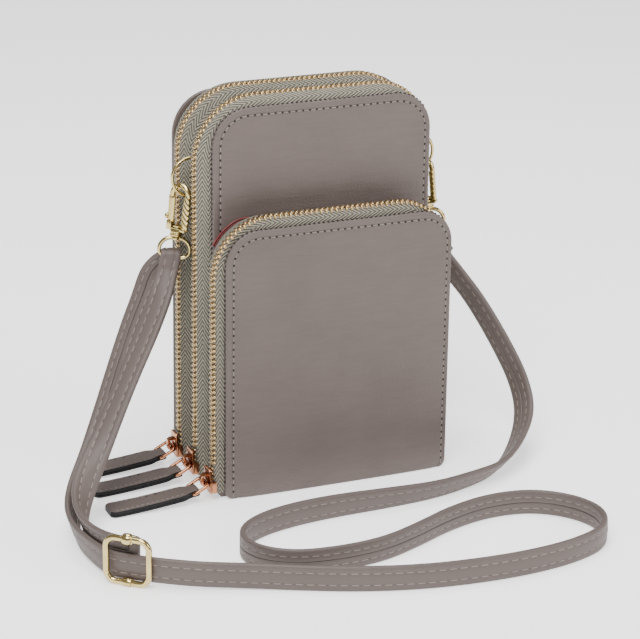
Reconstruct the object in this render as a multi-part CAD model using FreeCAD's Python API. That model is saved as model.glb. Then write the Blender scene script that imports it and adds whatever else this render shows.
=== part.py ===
import FreeCAD, Part
import math
import os

# A small crossbody phone pouch that stands on its base. Millimetres.
# x runs to the right, y to the back, z up, and the origin is the middle of the base under the divider.
# Two full-height compartments stand back to back, and a shorter pocket is sewn to the front one.

# Leather panels
panel_width = 103.0
panel_height = 170.0
panel_top_radius = 16.5
panel_foot_radius = 6.0
leather = 2.2
hem_radius = 0.9
pocket_height = 120.5
pocket_top_radius = 17.0
pocket_depth = 18.8

# Zips: tape, the two halves of the chain, and where the chains run
zip_spacing = 21.0
zip_to_panel = 8.1
pocket_zip_to_panel = 4.6
tape = 0.8
tape_rise = 3.4
tape_flat = 3.0
pocket_tape_flat = 1.6
tape_underlap = 0.4
tape_hem = 4.5
tape_foot = 3.0
chain_height = 1.8
chain_half_width = 2.9
chain_half_gap = 0.5
chain_foot = 4.0

# Divider, base and what is sewn inside
valley_depth = 9.0
valley_inner_radius = 1.6
base_thickness = 1.8
base_inset = 3.0
hinge_gap = 0.4
lining = 0.6
lining_inset = 6.0
sheet_foot_radius = 0.6
sleeve_gap = 0.5
sleeve_lift = 8.0
sleeve_height = 105.0
card_slot_heights = (58.0, 78.0, 98.0)
piping_gap = 0.4
piping_width = 1.6
piping_height = 1.0
piping_start_degrees = 30.0

# Sliders and pulls
slider_length = 11.0
slider_foot = 4.0
slider_plate = 1.2
slider_half_width = 4.6
slider_tail_half_width = 3.7
slider_clearance = 0.3
keel = 0.5
keel_length = 5.0
under_plate = 1.1
under_plate_half_width = 2.5
crown_height = 3.2
crown_width = 2.4
crown_length = 6.0
crown_leg = 1.2
link_wire = 1.3
link_width = 9.6
link_length = 7.6
link_drop_degrees = 28.0
link_pin_clearance = 0.3
tab_length = 41.0
tab_width = 13.0
tab_tip_width = 10.4
tab_thickness = 2.8
tab_slot_width = 7.0
tab_ear = 3.2
tab_floor_gap = 0.2

# Rings, hooks and eyes
ring_height = 137.0
ring_radius = 8.4
ring_wire = 1.4
ring_rest_degrees = 2.5
ring_tab_radius = 2.1
ring_tab_bore = 1.3
ring_tab_height = 5.0
ring_tab_gap = 0.5
hook_place_degrees = 30.0
hook_lean_degrees = 7.0
hook_turn_degrees = 50.0
eye_turn_degrees = 21.0
hook_wire = 2.0
hook_bend_radius = 3.9
hook_bar_top = 18.5
hook_tip_length = 0.9
hook_rest_gap = 1.7
collar_radius = 2.7
collar_foot = 0.3
collar_height = 3.6
yoke_half_depth = 1.7
yoke_height = 1.4
eye_wire = 1.8
eye_width = 15.2
eye_drop = 10.3
eye_top_radius = 5.4
eye_foot_radius = 2.0
stem_radius = 1.15
stem_clearance = 0.08
stem_head_radius = 1.9
stem_head = 0.9
gate_wire = 1.6
gate_pivot_in = 0.5
gate_barrel_radius = 1.2
gate_barrel_half_length = 0.9
gate_pin_radius = 0.5
gate_pin_clearance = 0.06
gate_ear = 0.7
gate_gap = 0.3
knob_radius = 1.2
knob_neck_radius = 0.6
knob_reach = 2.2
knob_height = 3.0

# Strap and buckle
strap_width = 11.0
strap_thickness = 2.6
strap_bar_gap = 0.35
buckle_length = 23.0
buckle_height = 23.6
buckle_wire = 2.8
buckle_corner_radius = 4.5
buckle_bar_radius = 1.0
buckle_bar_bend_radius = 1.8
buckle_gap = 0.3
buckle_turn_degrees = 138.0
buckle_knob_radius = 2.1
buckle_crimp_radius = 1.9
buckle_crimp_half_length = 1.7
buckle_crimp_foot = 0.6
end_loop_thickness = 1.3
end_loop_gap = 0.15
arc_step_degrees = 9.0
bend_share = 0.45

# Strap route, right eye to buckle: places on the middle line and the direction across the strap there
tail_route = [
    ((62.07, 2.38, 101.65), (0.93, -0.36, 0.00)),
    ((62.75, 2.4, 96.2), (0.92, -0.38, 0.00)),
    ((67.8, 0.6, 89.0), (0.84, -0.52, 0.02)),
    ((75.8, -2.4, 80.4), (0.72, -0.68, 0.08)),
]
drop_route = [
    ((60.26, -2.38, 101.43), (0.93, -0.36, 0.00)),
    ((60.9, -2.4, 96.2), (0.92, -0.38, 0.00)),
    ((65.6, -3.4, 88.2), (0.84, -0.52, 0.02)),
    ((73.6, -4.6, 79.2), (0.72, -0.68, 0.08)),
    ((83.3, -6.2, 66.3), (0.62, -0.76, 0.18)),
    ((93.8, -10.8, 47.0), (0.54, -0.78, 0.32)),
    ((101.2, -18.0, 28.6), (0.45, -0.75, 0.50)),
    ((100.2, -28.6, 16.0), (0.32, -0.62, 0.70)),
    ((87.6, -45.8, 7.4), (0.10, -0.28, 0.95)),
    ((70.8, -57.8, 5.6), (0.00, 0.00, 1.00)),
    ((54.4, -62.4, 5.6), (0.00, 0.00, 1.00)),
]
floor_route = [
    (54.4, -62.4, 5.6), (34.5, -68.0, 5.6), (11.0, -70.0, 5.6), (-14.0, -70.8, 5.6),
    (-35.0, -72.8, 5.6), (-52.0, -78.0, 5.6), (-63.5, -87.0, 5.6), (-66.5, -98.5, 5.6),
    (-61.0, -109.6, 5.6), (-49.0, -117.6, 5.6), (-30.0, -119.6, 5.6), (-9.5, -113.8, 5.6),
    (10.0, -104.4, 5.6), (29.0, -94.8, 5.6), (48.5, -91.0, 5.6), (67.5, -96.0, 5.6),
    (82.0, -108.0, 5.6), (87.5, -124.5, 5.6), (80.0, -140.0, 5.6), (62.0, -147.8, 5.6),
    (39.0, -151.2, 5.6), (14.5, -150.6, 5.6), (-9.0, -147.4, 5.6), (-32.5, -140.4, 5.6),
    (-54.5, -130.6, 5.6), (-74.5, -121.4, 5.7), (-91.0, -115.6, 7.0), (-104.5, -109.3, 8.9),
    (-115.6, -99.3, 8.9),
]
outer_ply_route = [
    ((-115.6, -99.3, 8.9), (0.00, 0.00, 1.00)),
    ((-123.03, -92.61, 8.9), (0.00, 0.00, 1.00)),
    ((-126.0, -80.0, 9.4), (-0.06, 0.00, 1.00)),
    ((-125.2, -63.0, 11.6), (-0.20, 0.00, 0.97)),
    ((-121.8, -48.0, 14.2), (-0.42, 0.00, 0.90)),
    ((-116.2, -36.0, 18.6), (-0.64, 0.04, 0.76)),
    ((-109.2, -26.5, 27.2), (-0.80, 0.14, 0.56)),
    ((-101.8, -18.0, 39.8), (-0.76, 0.48, 0.40)),
    ((-93.6, -10.0, 53.6), (-0.70, 0.62, 0.30)),
    ((-82.8, -1.0, 71.4), (-0.76, 0.58, 0.22)),
    ((-74.8, 3.2, 83.2), (-0.88, 0.42, 0.14)),
    ((-67.8, 4.6, 89.4), (-0.92, 0.37, 0.08)),
    ((-63.0, 3.6, 92.8), (-0.93, 0.36, 0.04)),
    ((-60.9, 2.4, 96.2), (-0.93, 0.36, 0.00)),
    ((-60.26, 2.38, 101.42), (-0.93, 0.36, 0.00)),
]
end_ply_route = [
    ((-62.07, -2.38, 101.64), (-0.93, 0.36, 0.00)),
    ((-62.75, -2.4, 96.2), (-0.93, 0.36, 0.02)),
    ((-66.6, -6.0, 90.0), (-0.91, 0.39, 0.12)),
    ((-71.0, -9.4, 82.6), (-0.88, 0.42, 0.20)),
    ((-77.0, -13.0, 73.0), (-0.84, 0.46, 0.28)),
    ((-86.8, -19.0, 59.4), (-0.83, 0.46, 0.31)),
    ((-95.5, -25.0, 46.0), (-0.83, 0.44, 0.33)),
    ((-103.2, -31.0, 33.6), (-0.84, 0.34, 0.42)),
    ((-110.4, -38.4, 23.4), (-0.80, 0.16, 0.56)),
    ((-116.6, -48.0, 16.8), (-0.66, 0.04, 0.74)),
    ((-120.4, -60.4, 13.8), (-0.40, 0.00, 0.92)),
    ((-121.9, -75.0, 13.2), (-0.16, 0.00, 0.99)),
    ((-120.6, -89.2, 12.6), (0.00, 0.00, 1.00)),
    ((-114.9, -94.5, 12.6), (0.00, 0.00, 1.00)),
]

# Worked out from the sizes above
half_width = panel_width / 2
zip_y = zip_spacing / 2
panel_face = zip_y + zip_to_panel
panel_inside = panel_face - leather
pocket_face = panel_face + pocket_depth
pocket_inside = pocket_face - leather
pocket_zip_y = pocket_face - pocket_zip_to_panel
divider_half = leather / 2
valley_hem = panel_top_radius - valley_depth - valley_inner_radius
ridge = tape_rise + chain_height
slider_top = slider_foot + slider_length
cover_chain_foot = slider_top + slider_clearance
plate_low = ridge + slider_clearance
plate_high = plate_low + slider_plate
ring_tab_x = half_width - valley_depth + ring_tab_radius + ring_tab_gap
ring_x = ring_tab_x + ring_radius
yoke_half_width = hook_bend_radius + hook_wire / 2
X = FreeCAD.Vector(1, 0, 0)
Y = FreeCAD.Vector(0, 1, 0)
Z = FreeCAD.Vector(0, 0, 1)


def at(x, y, z):
    return FreeCAD.Vector(x, y, z)


def save(name, shape):
    shape.exportStep("parts/%s.step" % name)


def box(low, high):
    size = high - low
    return Part.makeBox(size.x, size.y, size.z, low)


def rod(start, end, radius):
    return Part.makeCylinder(radius, (end - start).Length, start, end - start)


def line(start, end):
    return Part.LineSegment(start, end).toShape()


def corner(centre, radius, start_degrees, turn_degrees):
    """Arc in the x-z plane."""
    places = []
    for part in range(3):
        angle = math.radians(start_degrees + turn_degrees * part / 2)
        places.append(centre + at(math.cos(angle), 0, math.sin(angle)) * radius)
    return Part.Arc(*places).toShape()


def prism(points, push):
    """Solid from a closed outline of points, pushed along a vector."""
    face = Part.Face(Part.makePolygon(points + points[:1]))
    return face.extrude(push)


# Panels


def outline_face(width, foot, height, top_radius, foot_radius, y):
    """Upright face with round corners, standing at foot."""
    half = width / 2
    low = foot + foot_radius
    high = height - top_radius
    edges = [
        line(at(-half, y, low), at(-half, y, high)),
        corner(at(-half + top_radius, y, high), top_radius, 180, -90),
        line(at(-half + top_radius, y, height), at(half - top_radius, y, height)),
        corner(at(half - top_radius, y, high), top_radius, 90, -90),
        line(at(half, y, high), at(half, y, low)),
        corner(at(half - foot_radius, y, low), foot_radius, 0, -90),
        line(at(half - foot_radius, y, foot), at(-half + foot_radius, y, foot)),
        corner(at(-half + foot_radius, y, low), foot_radius, 270, -90),
    ]
    return Part.Face(Part.Wire(edges))


def leather_panel(height, top_radius, y):
    """Leather over board, with its foot edge turned over."""
    face = outline_face(panel_width, 0, height, top_radius, panel_foot_radius, y)
    slab = face.extrude(at(0, leather, 0))
    foot_edges = [edge for edge in slab.Edges if edge.BoundBox.ZMax < hem_radius]
    return slab.makeFillet(hem_radius, foot_edges)


def sheet(inset, foot, height, top_radius, y, thickness):
    """Thin sheet inside the outline of a panel."""
    round_top = max(top_radius - inset, sheet_foot_radius)
    face = outline_face(panel_width - 2 * inset, foot, height - inset, round_top, sheet_foot_radius, y)
    return face.extrude(at(0, thickness, 0))


# Zips


def arch(height, top_radius, foot):
    """The way that a zip takes: up the left edge, over the top and down the right edge."""
    high = height - top_radius
    across = half_width - top_radius
    return Part.Wire([
        line(at(-half_width, 0, foot), at(-half_width, 0, high)),
        corner(at(-across, 0, high), top_radius, 180, -90),
        line(at(-across, 0, height), at(across, 0, height)),
        corner(at(across, 0, high), top_radius, 90, -90),
        line(at(half_width, 0, high), at(half_width, 0, foot)),
    ])


def along_arch(section, height, top_radius, foot):
    """Sweep a section, given as distances out of the edge and along y, round a zip's way."""
    points = [at(-half_width - out, y, foot) for out, y in section]
    pipe = Part.BRepOffsetAPI.MakePipeShell(arch(height, top_radius, foot))
    pipe.setBiNormalMode(Y)
    pipe.add(Part.makePolygon(points + points[:1]))
    pipe.build()
    pipe.makeSolid()
    return pipe.shape()


def tape_section(y, side, reach, landing, flat, hem):
    """From the chain at y, out to what the tape is sewn to, reach away on that side."""
    low = tape_rise - tape
    shape = [
        (tape_rise, chain_half_gap), (tape_rise, flat), (landing, reach), (landing - hem, reach),
        (landing - hem, reach - tape), (landing - tape_underlap, reach - tape),
        (low, flat - tape_underlap), (low, chain_half_gap),
    ]
    return [(out, y + side * away) for out, away in shape]


def chain_section(y, side):
    shape = [
        (tape_rise, chain_half_gap), (tape_rise, chain_half_width),
        (ridge, chain_half_width), (ridge, chain_half_gap),
    ]
    return [(out, y + side * away) for out, away in shape]


def zip_half(name, y, side, reach, landing, flat, hem, height, top_radius, chain_start):
    section = tape_section(y, side, reach, landing, flat, hem)
    save(name + "_tape", along_arch(section, height, top_radius, tape_foot))
    save(name + "_chain", along_arch(chain_section(y, side), height, top_radius, chain_start))


def zips():
    to_divider = zip_y - divider_half
    to_panel = panel_inside - zip_y
    for name, side in (("back", 1), ("main", -1)):
        zip_half(name + "_inner", side * zip_y, -side, to_divider, -valley_depth, tape_flat, valley_hem,
                 panel_height, panel_top_radius, chain_foot)
        zip_half(name + "_outer", side * zip_y, side, to_panel, 0, tape_flat, tape_hem,
                 panel_height, panel_top_radius, cover_chain_foot)
    zip_half("pocket_inner", -pocket_zip_y, 1, pocket_zip_y - panel_face, 0, tape_flat, tape_hem,
             pocket_height, pocket_top_radius, chain_foot)
    zip_half("pocket_outer", -pocket_zip_y, -1, pocket_inside - pocket_zip_y, 0, pocket_tape_flat, tape_hem,
             pocket_height, pocket_top_radius, cover_chain_foot)


# Body


def body():
    save("back_panel", leather_panel(panel_height, panel_top_radius, panel_inside))
    save("front_panel", leather_panel(panel_height, panel_top_radius, -panel_face))
    save("pocket_panel", leather_panel(pocket_height, pocket_top_radius, -pocket_face))
    divider = sheet(valley_depth, base_thickness, panel_height, panel_top_radius, -divider_half, leather)
    save("centre_divider", divider)
    across = half_width - base_inset
    deep = panel_inside - hinge_gap
    save("base_panel", box(at(-across, -deep, 0), at(across, deep, base_thickness)))
    front = hinge_gap - pocket_inside
    save("pocket_base", box(at(-across, front, 0), at(across, -panel_face, base_thickness)))


def inside():
    foot = base_thickness + lining
    places = (
        ("back", panel_height, panel_top_radius, panel_inside - lining),
        ("main", panel_height, panel_top_radius, -panel_inside),
        ("pocket", pocket_height, pocket_top_radius, -pocket_inside),
    )
    for name, height, top_radius, y in places:
        save(name + "_lining", sheet(lining_inset, foot, height, top_radius, y, lining))
    across = half_width - valley_depth - valley_hem - sleeve_gap
    save("phone_sleeve", box(at(-across, -divider_half - lining, sleeve_lift),
                             at(across, -divider_half, sleeve_lift + sleeve_height)))
    slots = None
    for layer, tall in enumerate(reversed(card_slot_heights)):
        near = divider_half + layer * lining
        card = box(at(-across, near, sleeve_lift), at(across, near + lining, sleeve_lift + tall))
        slots = slots.fuse(card) if slots else card
    save("card_slots", slots.removeSplitter())
    save("pocket_piping", piping())


def piping():
    """Coloured edge on the front panel, round the top of the pocket's gusset."""
    start = math.radians(180 - piping_start_degrees)
    turn = 90 - piping_start_degrees
    high = pocket_height - pocket_top_radius
    across = half_width - pocket_top_radius
    radius = pocket_top_radius + piping_gap
    path = Part.Wire([
        corner(at(-across, 0, high), radius, 180 - piping_start_degrees, -turn),
        line(at(-across, 0, high + radius), at(across, 0, high + radius)),
        corner(at(across, 0, high), radius, 90, -turn),
    ])
    outward = at(math.cos(start), 0, math.sin(start))
    near = at(-across, -panel_face, high) + outward * radius
    points = [near, near - Y * piping_height, near + outward * piping_width - Y * piping_height,
              near + outward * piping_width]
    pipe = Part.BRepOffsetAPI.MakePipeShell(path)
    pipe.setBiNormalMode(Y)
    pipe.add(Part.makePolygon(points + points[:1]))
    pipe.build()
    pipe.makeSolid()
    return pipe.shape()


# Sliders and pulls


def under_reach(flat):
    """How far the slider's under plate goes across, inside a tape with this much flat."""
    return min(under_plate_half_width, flat - tape_underlap - slider_clearance)


def slider(y, near_flat, far_flat):
    """Crown plate with two lips round its mouth, a keel that parts the teeth and a plate under the tape."""
    low = slider_foot
    high = slider_top
    waist = low + slider_length / 2

    def out(distance):
        return -half_width - distance

    wide = slider_half_width
    tail = slider_tail_half_width
    shield = [(-wide, low), (wide, low), (wide, waist), (tail, high), (-tail, high), (-wide, waist)]
    solid = prism([at(out(plate_low), y + across, up) for across, up in shield], at(-slider_plate, 0, 0))
    lip_low = tape_rise + slider_clearance
    for side in (-1, 1):
        near = y + side * (chain_half_width + slider_clearance)
        far = y + side * slider_half_width
        lip = box(at(out(plate_high), min(near, far), low), at(out(lip_low), max(near, far), waist))
        solid = solid.fuse(lip)
    under_high = tape_rise - tape - slider_clearance
    under_low = under_high - under_plate
    blade = box(at(out(plate_low), y - keel / 2, low), at(out(under_low), y + keel / 2, low + keel_length))
    under = box(at(out(under_high), y - under_reach(near_flat), low),
                at(out(under_low), y + under_reach(far_flat), high))
    crown = box(at(out(plate_high + crown_height), y - crown_width / 2, waist - crown_length / 2),
                at(out(plate_high), y + crown_width / 2, waist + crown_length / 2))
    gap_high = plate_high + crown_height - crown_leg
    gap_half = crown_length / 2 - crown_leg
    gap = box(at(out(gap_high), y - crown_width, waist - gap_half),
              at(out(plate_high), y + crown_width, waist + gap_half))
    return solid.fuse([blade, under, crown.cut(gap)]).removeSplitter()


def pin_place(y):
    """Middle of the link's near bar, in the low end of the slider's crown."""
    waist = slider_foot + slider_length / 2
    low = waist - crown_length / 2 + crown_leg + link_pin_clearance + link_wire / 2
    out = plate_high + link_pin_clearance + link_wire / 2
    return at(-half_width - out, y, low)


def drop(shape, pivot, degrees):
    """Tip a part that points to -x down about a y axis through pivot."""
    turned = shape.copy()
    turned.rotate(pivot, Y, -degrees)
    return turned


def link(y):
    """Rectangular wire link, from the slider's crown to the leather tab."""
    near = pin_place(y)
    far = near - X * link_length
    side = Y * (link_width / 2)
    bars = [rod(near - side, near + side, link_wire / 2), rod(far - side, far + side, link_wire / 2)]
    for end in (-1, 1):
        bars.append(rod(near + side * end, far + side * end, link_wire / 2))
        bars.append(Part.makeSphere(link_wire / 2, near + side * end))
        bars.append(Part.makeSphere(link_wire / 2, far + side * end))
    frame = bars[0].fuse(bars[1:])
    return drop(frame, near, link_drop_degrees)


def link_end(y):
    angle = math.radians(link_drop_degrees)
    return pin_place(y) - at(math.cos(angle), 0, math.sin(angle)) * link_length


def tab_drop_degrees(pivot):
    """Slope that lays the tab's tip on the floor."""
    fall = pivot.z - tab_thickness / 2 - tab_floor_gap
    return math.degrees(math.asin(fall / (tab_length - tab_ear)))


def tab(y):
    """Leather pull folded over the link's far bar, tapering to its tip."""
    pivot = link_end(y)
    start = pivot.x + tab_ear
    neck = tab_slot_width / 2
    half = tab_width / 2
    tip = tab_tip_width / 2
    shoulder = pivot.x - tab_ear
    end = start - tab_length
    low = pivot.z - tab_thickness / 2
    near_tip = (half + tip) / 2
    points = [
        (start, -neck), (shoulder, -neck), (shoulder - tab_ear, -half), (end + tab_ear, -near_tip),
        (end, -tip), (end, tip), (end + tab_ear, near_tip), (shoulder - tab_ear, half),
        (shoulder, neck), (start, neck),
    ]
    body_solid = prism([at(x, y + across, low) for x, across in points], at(0, 0, tab_thickness))
    eye_way = rod(pivot - Y * half, pivot + Y * half, link_wire / 2 + link_pin_clearance)
    return drop(body_solid.cut(eye_way), pivot, tab_drop_degrees(pivot))


def pulls():
    places = (
        ("back", zip_y, tape_flat),
        ("main", -zip_y, tape_flat),
        ("pocket", -pocket_zip_y, pocket_tape_flat),
    )
    for name, y, near_flat in places:
        save(name + "_slider", slider(y, near_flat, tape_flat))
        save(name + "_link", link(y))
        save(name + "_tab", tab(y))
        pin = pin_place(y)
        end = link_end(y)
        print("%s link pivot %.2f %.2f %.2f, tab pivot %.2f %.2f %.2f"
              % (name, pin.x, pin.y, pin.z, end.x, end.y, end.z))


# Rings and hooks


def wire_loop(edges, radius):
    """Round wire bent along a chain of edges."""
    path = Part.Wire(edges)
    start = path.OrderedVertexes[0].Point
    first = path.OrderedEdges[0]
    heading = first.tangentAt(first.FirstParameter)
    ring = Part.Wire(Part.makeCircle(radius, start, heading))
    pipe = Part.BRepOffsetAPI.MakePipeShell(path)
    pipe.add(ring)
    pipe.build()
    pipe.makeSolid()
    return pipe.shape()


def ring(side):
    """Ring through the divider's loop, turned a little by the hook's pull."""
    hoop = Part.makeTorus(ring_radius, ring_wire / 2, at(side * ring_x, 0, ring_height), Y)
    hoop.rotate(at(side * ring_tab_x, 0, 0), Z, ring_rest_degrees)
    return hoop


def ring_tab(side):
    """Leather loop on the divider's edge that holds a ring."""
    low = ring_height - ring_tab_height / 2
    edge = side * (half_width - valley_depth)
    loop = side * ring_tab_x
    high = low + ring_tab_height
    web = box(at(min(edge, loop), -divider_half, low), at(max(edge, loop), divider_half, high))
    eye = Part.makeCylinder(ring_tab_radius, ring_tab_height, at(loop, 0, low))
    way = Part.makeCylinder(ring_tab_bore, ring_tab_height, at(loop, 0, low))
    return web.fuse(eye).cut(way).removeSplitter()


def hook_frame(side):
    """Foot of the hook's collar and the hook's long axis."""
    angle = math.radians(hook_place_degrees)
    hold_x = ring_x + ring_radius * math.sin(angle)
    hold = at(side * hold_x, 0, ring_height - ring_radius * math.cos(angle))
    lean = math.radians(hook_lean_degrees)
    axis = at(-side * math.sin(lean), 0, math.cos(lean))
    inside_top = hook_bar_top + hook_bend_radius - hook_wire / 2
    foot = hold - axis * (inside_top - ring_wire / 2 - hook_rest_gap)
    return foot, axis


def placed(shape, side, turn_degrees):
    """Stand a part that is drawn about z, with its flat in the x-z plane, on a hook's axis."""
    foot, _ = hook_frame(side)
    turned = shape.copy()
    turned.rotate(at(0, 0, 0), Z, -turn_degrees)
    turned.rotate(at(0, 0, 0), Y, -side * hook_lean_degrees)
    turned.translate(foot)
    return turned


def claw():
    """Collar and yoke with the bent bar, and the ears and pin of the gate."""
    high = collar_foot + collar_height
    yoke_low = high - yoke_height
    bar = hook_wire / 2
    bend = hook_bend_radius
    edges = [
        line(at(bend, 0, yoke_low + bar), at(bend, 0, hook_bar_top)),
        corner(at(0, 0, hook_bar_top), bend, 0, 180),
        line(at(-bend, 0, hook_bar_top), at(-bend, 0, hook_bar_top - hook_tip_length)),
    ]
    solid = Part.makeCylinder(collar_radius, collar_height, at(0, 0, collar_foot))
    yoke = box(at(-yoke_half_width, -yoke_half_depth, yoke_low), at(yoke_half_width, yoke_half_depth, high))
    solid = solid.fuse([yoke, wire_loop(edges, bar)])
    pivot = gate_pivot()
    for end in (-1, 1):
        near = end * (gate_barrel_half_length + gate_pin_clearance)
        far = end * (gate_barrel_half_length + gate_pin_clearance + gate_ear)
        ear = box(at(pivot.x - gate_barrel_radius, min(near, far), high - yoke_height),
                  at(pivot.x + gate_barrel_radius, max(near, far), pivot.z + gate_barrel_radius))
        solid = solid.fuse(ear)
    reach = Y * (gate_barrel_half_length + gate_pin_clearance + gate_ear)
    solid = solid.fuse(rod(pivot - reach, pivot + reach, gate_pin_radius))
    bore = Part.makeCylinder(stem_radius + stem_clearance, high, at(0, 0, 0))
    return solid.cut(bore).removeSplitter()


def gate_pivot():
    high = collar_foot + collar_height
    return at(-hook_bend_radius + gate_pivot_in, 0, high + gate_gap + gate_barrel_radius)


def gate():
    """Sprung bar with a thumb knob that closes the claw."""
    pivot = gate_pivot()
    tip = at(-hook_bend_radius, 0, hook_bar_top - hook_tip_length - gate_gap)
    reach = Y * gate_barrel_half_length
    barrel = rod(pivot - reach, pivot + reach, gate_barrel_radius)
    root = pivot + unit(tip - pivot) * ((gate_barrel_radius + gate_pin_radius) / 2)
    solid = barrel.fuse(rod(root, tip, gate_wire / 2))
    stud = at(-hook_bend_radius, 0, pivot.z + knob_height)
    knob = stud - X * knob_reach
    solid = solid.fuse([rod(stud, knob, knob_neck_radius), Part.makeSphere(knob_radius, knob)])
    bore = rod(pivot - reach, pivot + reach, gate_pin_radius + gate_pin_clearance)
    return solid.cut(bore).removeSplitter()


def eye_bar_drop():
    return eye_drop - eye_wire / 2


def eye():
    """Wire eye for the strap, with the stem and head that turn in the collar."""
    half = eye_width / 2 - eye_wire / 2
    top = -eye_wire / 2
    foot = -eye_bar_drop()
    edges = [
        line(at(0, 0, top), at(-half + eye_top_radius, 0, top)),
        corner(at(-half + eye_top_radius, 0, top - eye_top_radius), eye_top_radius, 90, 90),
        line(at(-half, 0, top - eye_top_radius), at(-half, 0, foot + eye_foot_radius)),
        corner(at(-half + eye_foot_radius, 0, foot + eye_foot_radius), eye_foot_radius, 180, 90),
        line(at(-half + eye_foot_radius, 0, foot), at(half - eye_foot_radius, 0, foot)),
        corner(at(half - eye_foot_radius, 0, foot + eye_foot_radius), eye_foot_radius, 270, 90),
        line(at(half, 0, foot + eye_foot_radius), at(half, 0, top - eye_top_radius)),
        corner(at(half - eye_top_radius, 0, top - eye_top_radius), eye_top_radius, 0, 90),
        line(at(half - eye_top_radius, 0, top), at(0, 0, top)),
    ]
    high = collar_foot + collar_height + gate_gap
    stem = Part.makeCylinder(stem_radius, high - top + stem_head, at(0, 0, top))
    head = Part.makeCylinder(stem_head_radius, stem_head, at(0, 0, high))
    return wire_loop(edges, eye_wire / 2).fuse([stem, head]).removeSplitter()


def strap_turn():
    """Half turn of the strap over an eye's bar."""
    inner = eye_wire / 2 + strap_bar_gap
    bar = -eye_bar_drop()
    reach = X * (strap_width / 2)
    middle = at(0, 0, bar)
    ring_solid = rod(middle - reach, middle + reach, inner + strap_thickness)
    ring_solid = ring_solid.cut(rod(middle - reach, middle + reach, inner))
    outer = inner + strap_thickness
    lower_half = box(at(-strap_width, -outer, bar - outer), at(strap_width, outer, bar))
    return ring_solid.cut(lower_half)


def hooks():
    for name, side in (("left", -1), ("right", 1)):
        save(name + "_ring", ring(side))
        save(name + "_ring_tab", ring_tab(side))
        save(name + "_hook_claw", placed(claw(), side, hook_turn_degrees))
        save(name + "_hook_gate", placed(gate(), side, hook_turn_degrees))
        save(name + "_hook_eye", placed(eye(), side, eye_turn_degrees))
        foot, axis = hook_frame(side)
        pin = placed(Part.Vertex(gate_pivot()), side, hook_turn_degrees).Point
        print("%s hook foot %.2f %.2f %.2f, axis %.4f %.4f %.4f, gate pin %.2f %.2f %.2f"
              % ((name,) + tuple(foot) + tuple(axis) + tuple(pin)))


# Strap and buckle


def unit(vector):
    return vector * (1 / vector.Length)


def bends(points):
    """Tangent arc at each inner point of a route: its two ends, its middle, its radius and its turn."""
    arcs = []
    for before, point, after in zip(points, points[1:], points[2:]):
        inward = unit(point - before)
        outward = unit(after - point)
        turn = inward.getAngle(outward)
        cut = bend_share * min((point - before).Length, (after - point).Length)
        radius = cut / math.tan(turn / 2)
        to_centre = unit(outward - inward)
        crown = point + to_centre * (radius / math.cos(turn / 2) - radius)
        arcs.append((point - inward * cut, crown, point + outward * cut, radius, turn))
    return arcs


def route_wire(points):
    """Straight runs joined by tangent arcs."""
    edges = []
    last = points[0]
    for start, crown, end, _, _ in bends(points):
        edges.append(line(last, start))
        edges.append(Part.Arc(start, crown, end).toShape())
        last = end
    edges.append(line(last, points[-1]))
    return Part.Wire(edges)


def strap_outline(place, heading, across):
    """Outline of the strap's end face at a place on its middle line."""
    across = unit(across - heading * across.dot(heading))
    through = heading.cross(across) * (strap_thickness / 2)
    side = across * (strap_width / 2)
    ends = [place - side - through, place + side - through, place + side + through, place - side + through]
    return Part.makePolygon(ends + ends[:1])


def compare_volume(name, solid, path, points):
    radii = ", ".join("%.0f" % arc[3] for arc in bends(points))
    plain = strap_width * strap_thickness * path.Length
    share = solid.Volume / plain
    print("%s length %.1f, volume share %.3f, bend radii %s" % (name, path.Length, share, radii))


def flat_run(name, points):
    """Stretch of strap that stands on its edge all the way."""
    path = route_wire(points)
    pipe = Part.BRepOffsetAPI.MakePipeShell(path)
    pipe.setBiNormalMode(Z)
    pipe.add(strap_outline(points[0], unit(points[1] - points[0]), Z))
    pipe.build()
    pipe.makeSolid()
    solid = pipe.shape()
    compare_volume(name, solid, path, points)
    return solid


def twisted_run(name, route):
    """Stretch of strap that turns over along its way, in flat steps along its runs and arcs."""
    points = [at(*place) for place, _ in route]
    path = route_wire(points)
    sections = []
    for index, edge in enumerate(path.OrderedEdges):
        turn = edge.tangentAt(edge.FirstParameter).getAngle(edge.tangentAt(edge.LastParameter))
        steps = max(1, math.ceil(math.degrees(turn) / arc_step_degrees))
        for step in range(steps + 1):
            if step == 0 and index > 0:
                continue
            share = step / steps
            spot = edge.FirstParameter + (edge.LastParameter - edge.FirstParameter) * share
            across = across_at(route, index, share)
            sections.append(strap_outline(edge.valueAt(spot), edge.tangentAt(spot), across))
    solid = Part.makeLoft(sections, True, True)
    compare_volume(name, solid, path, points)
    return solid


def across_at(route, edge_index, share):
    """Direction across the strap: on an arc it swings from one run's middle to the next run's."""
    point = (edge_index + 1) // 2
    directions = [at(*direction) for _, direction in route]
    if edge_index % 2:
        before = directions[point] + (directions[point - 1] - directions[point]) * bend_share
        after = directions[point] + (directions[point + 1] - directions[point]) * bend_share
    else:
        first = directions[point]
        second = directions[point + 1]
        before = first + (second - first) * (bend_share if edge_index else 0)
        last = 2 * len(route) - 4
        after = first + (second - first) * (1 if edge_index == last else 1 - bend_share)
    return before + (after - before) * share


def strap():
    save("strap_floor_run", flat_run("strap floor run", [at(*place) for place in floor_route]))
    save("strap_right_drop", twisted_run("strap right drop", drop_route))
    save("strap_right_tail", twisted_run("strap right tail", tail_route))
    save("strap_outer_ply", twisted_run("strap outer ply", outer_ply_route))
    save("strap_end_ply", twisted_run("strap end ply", end_ply_route))
    save("strap_left_turn", placed(strap_turn(), -1, eye_turn_degrees))
    save("strap_right_turn", placed(strap_turn(), 1, eye_turn_degrees))


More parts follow.
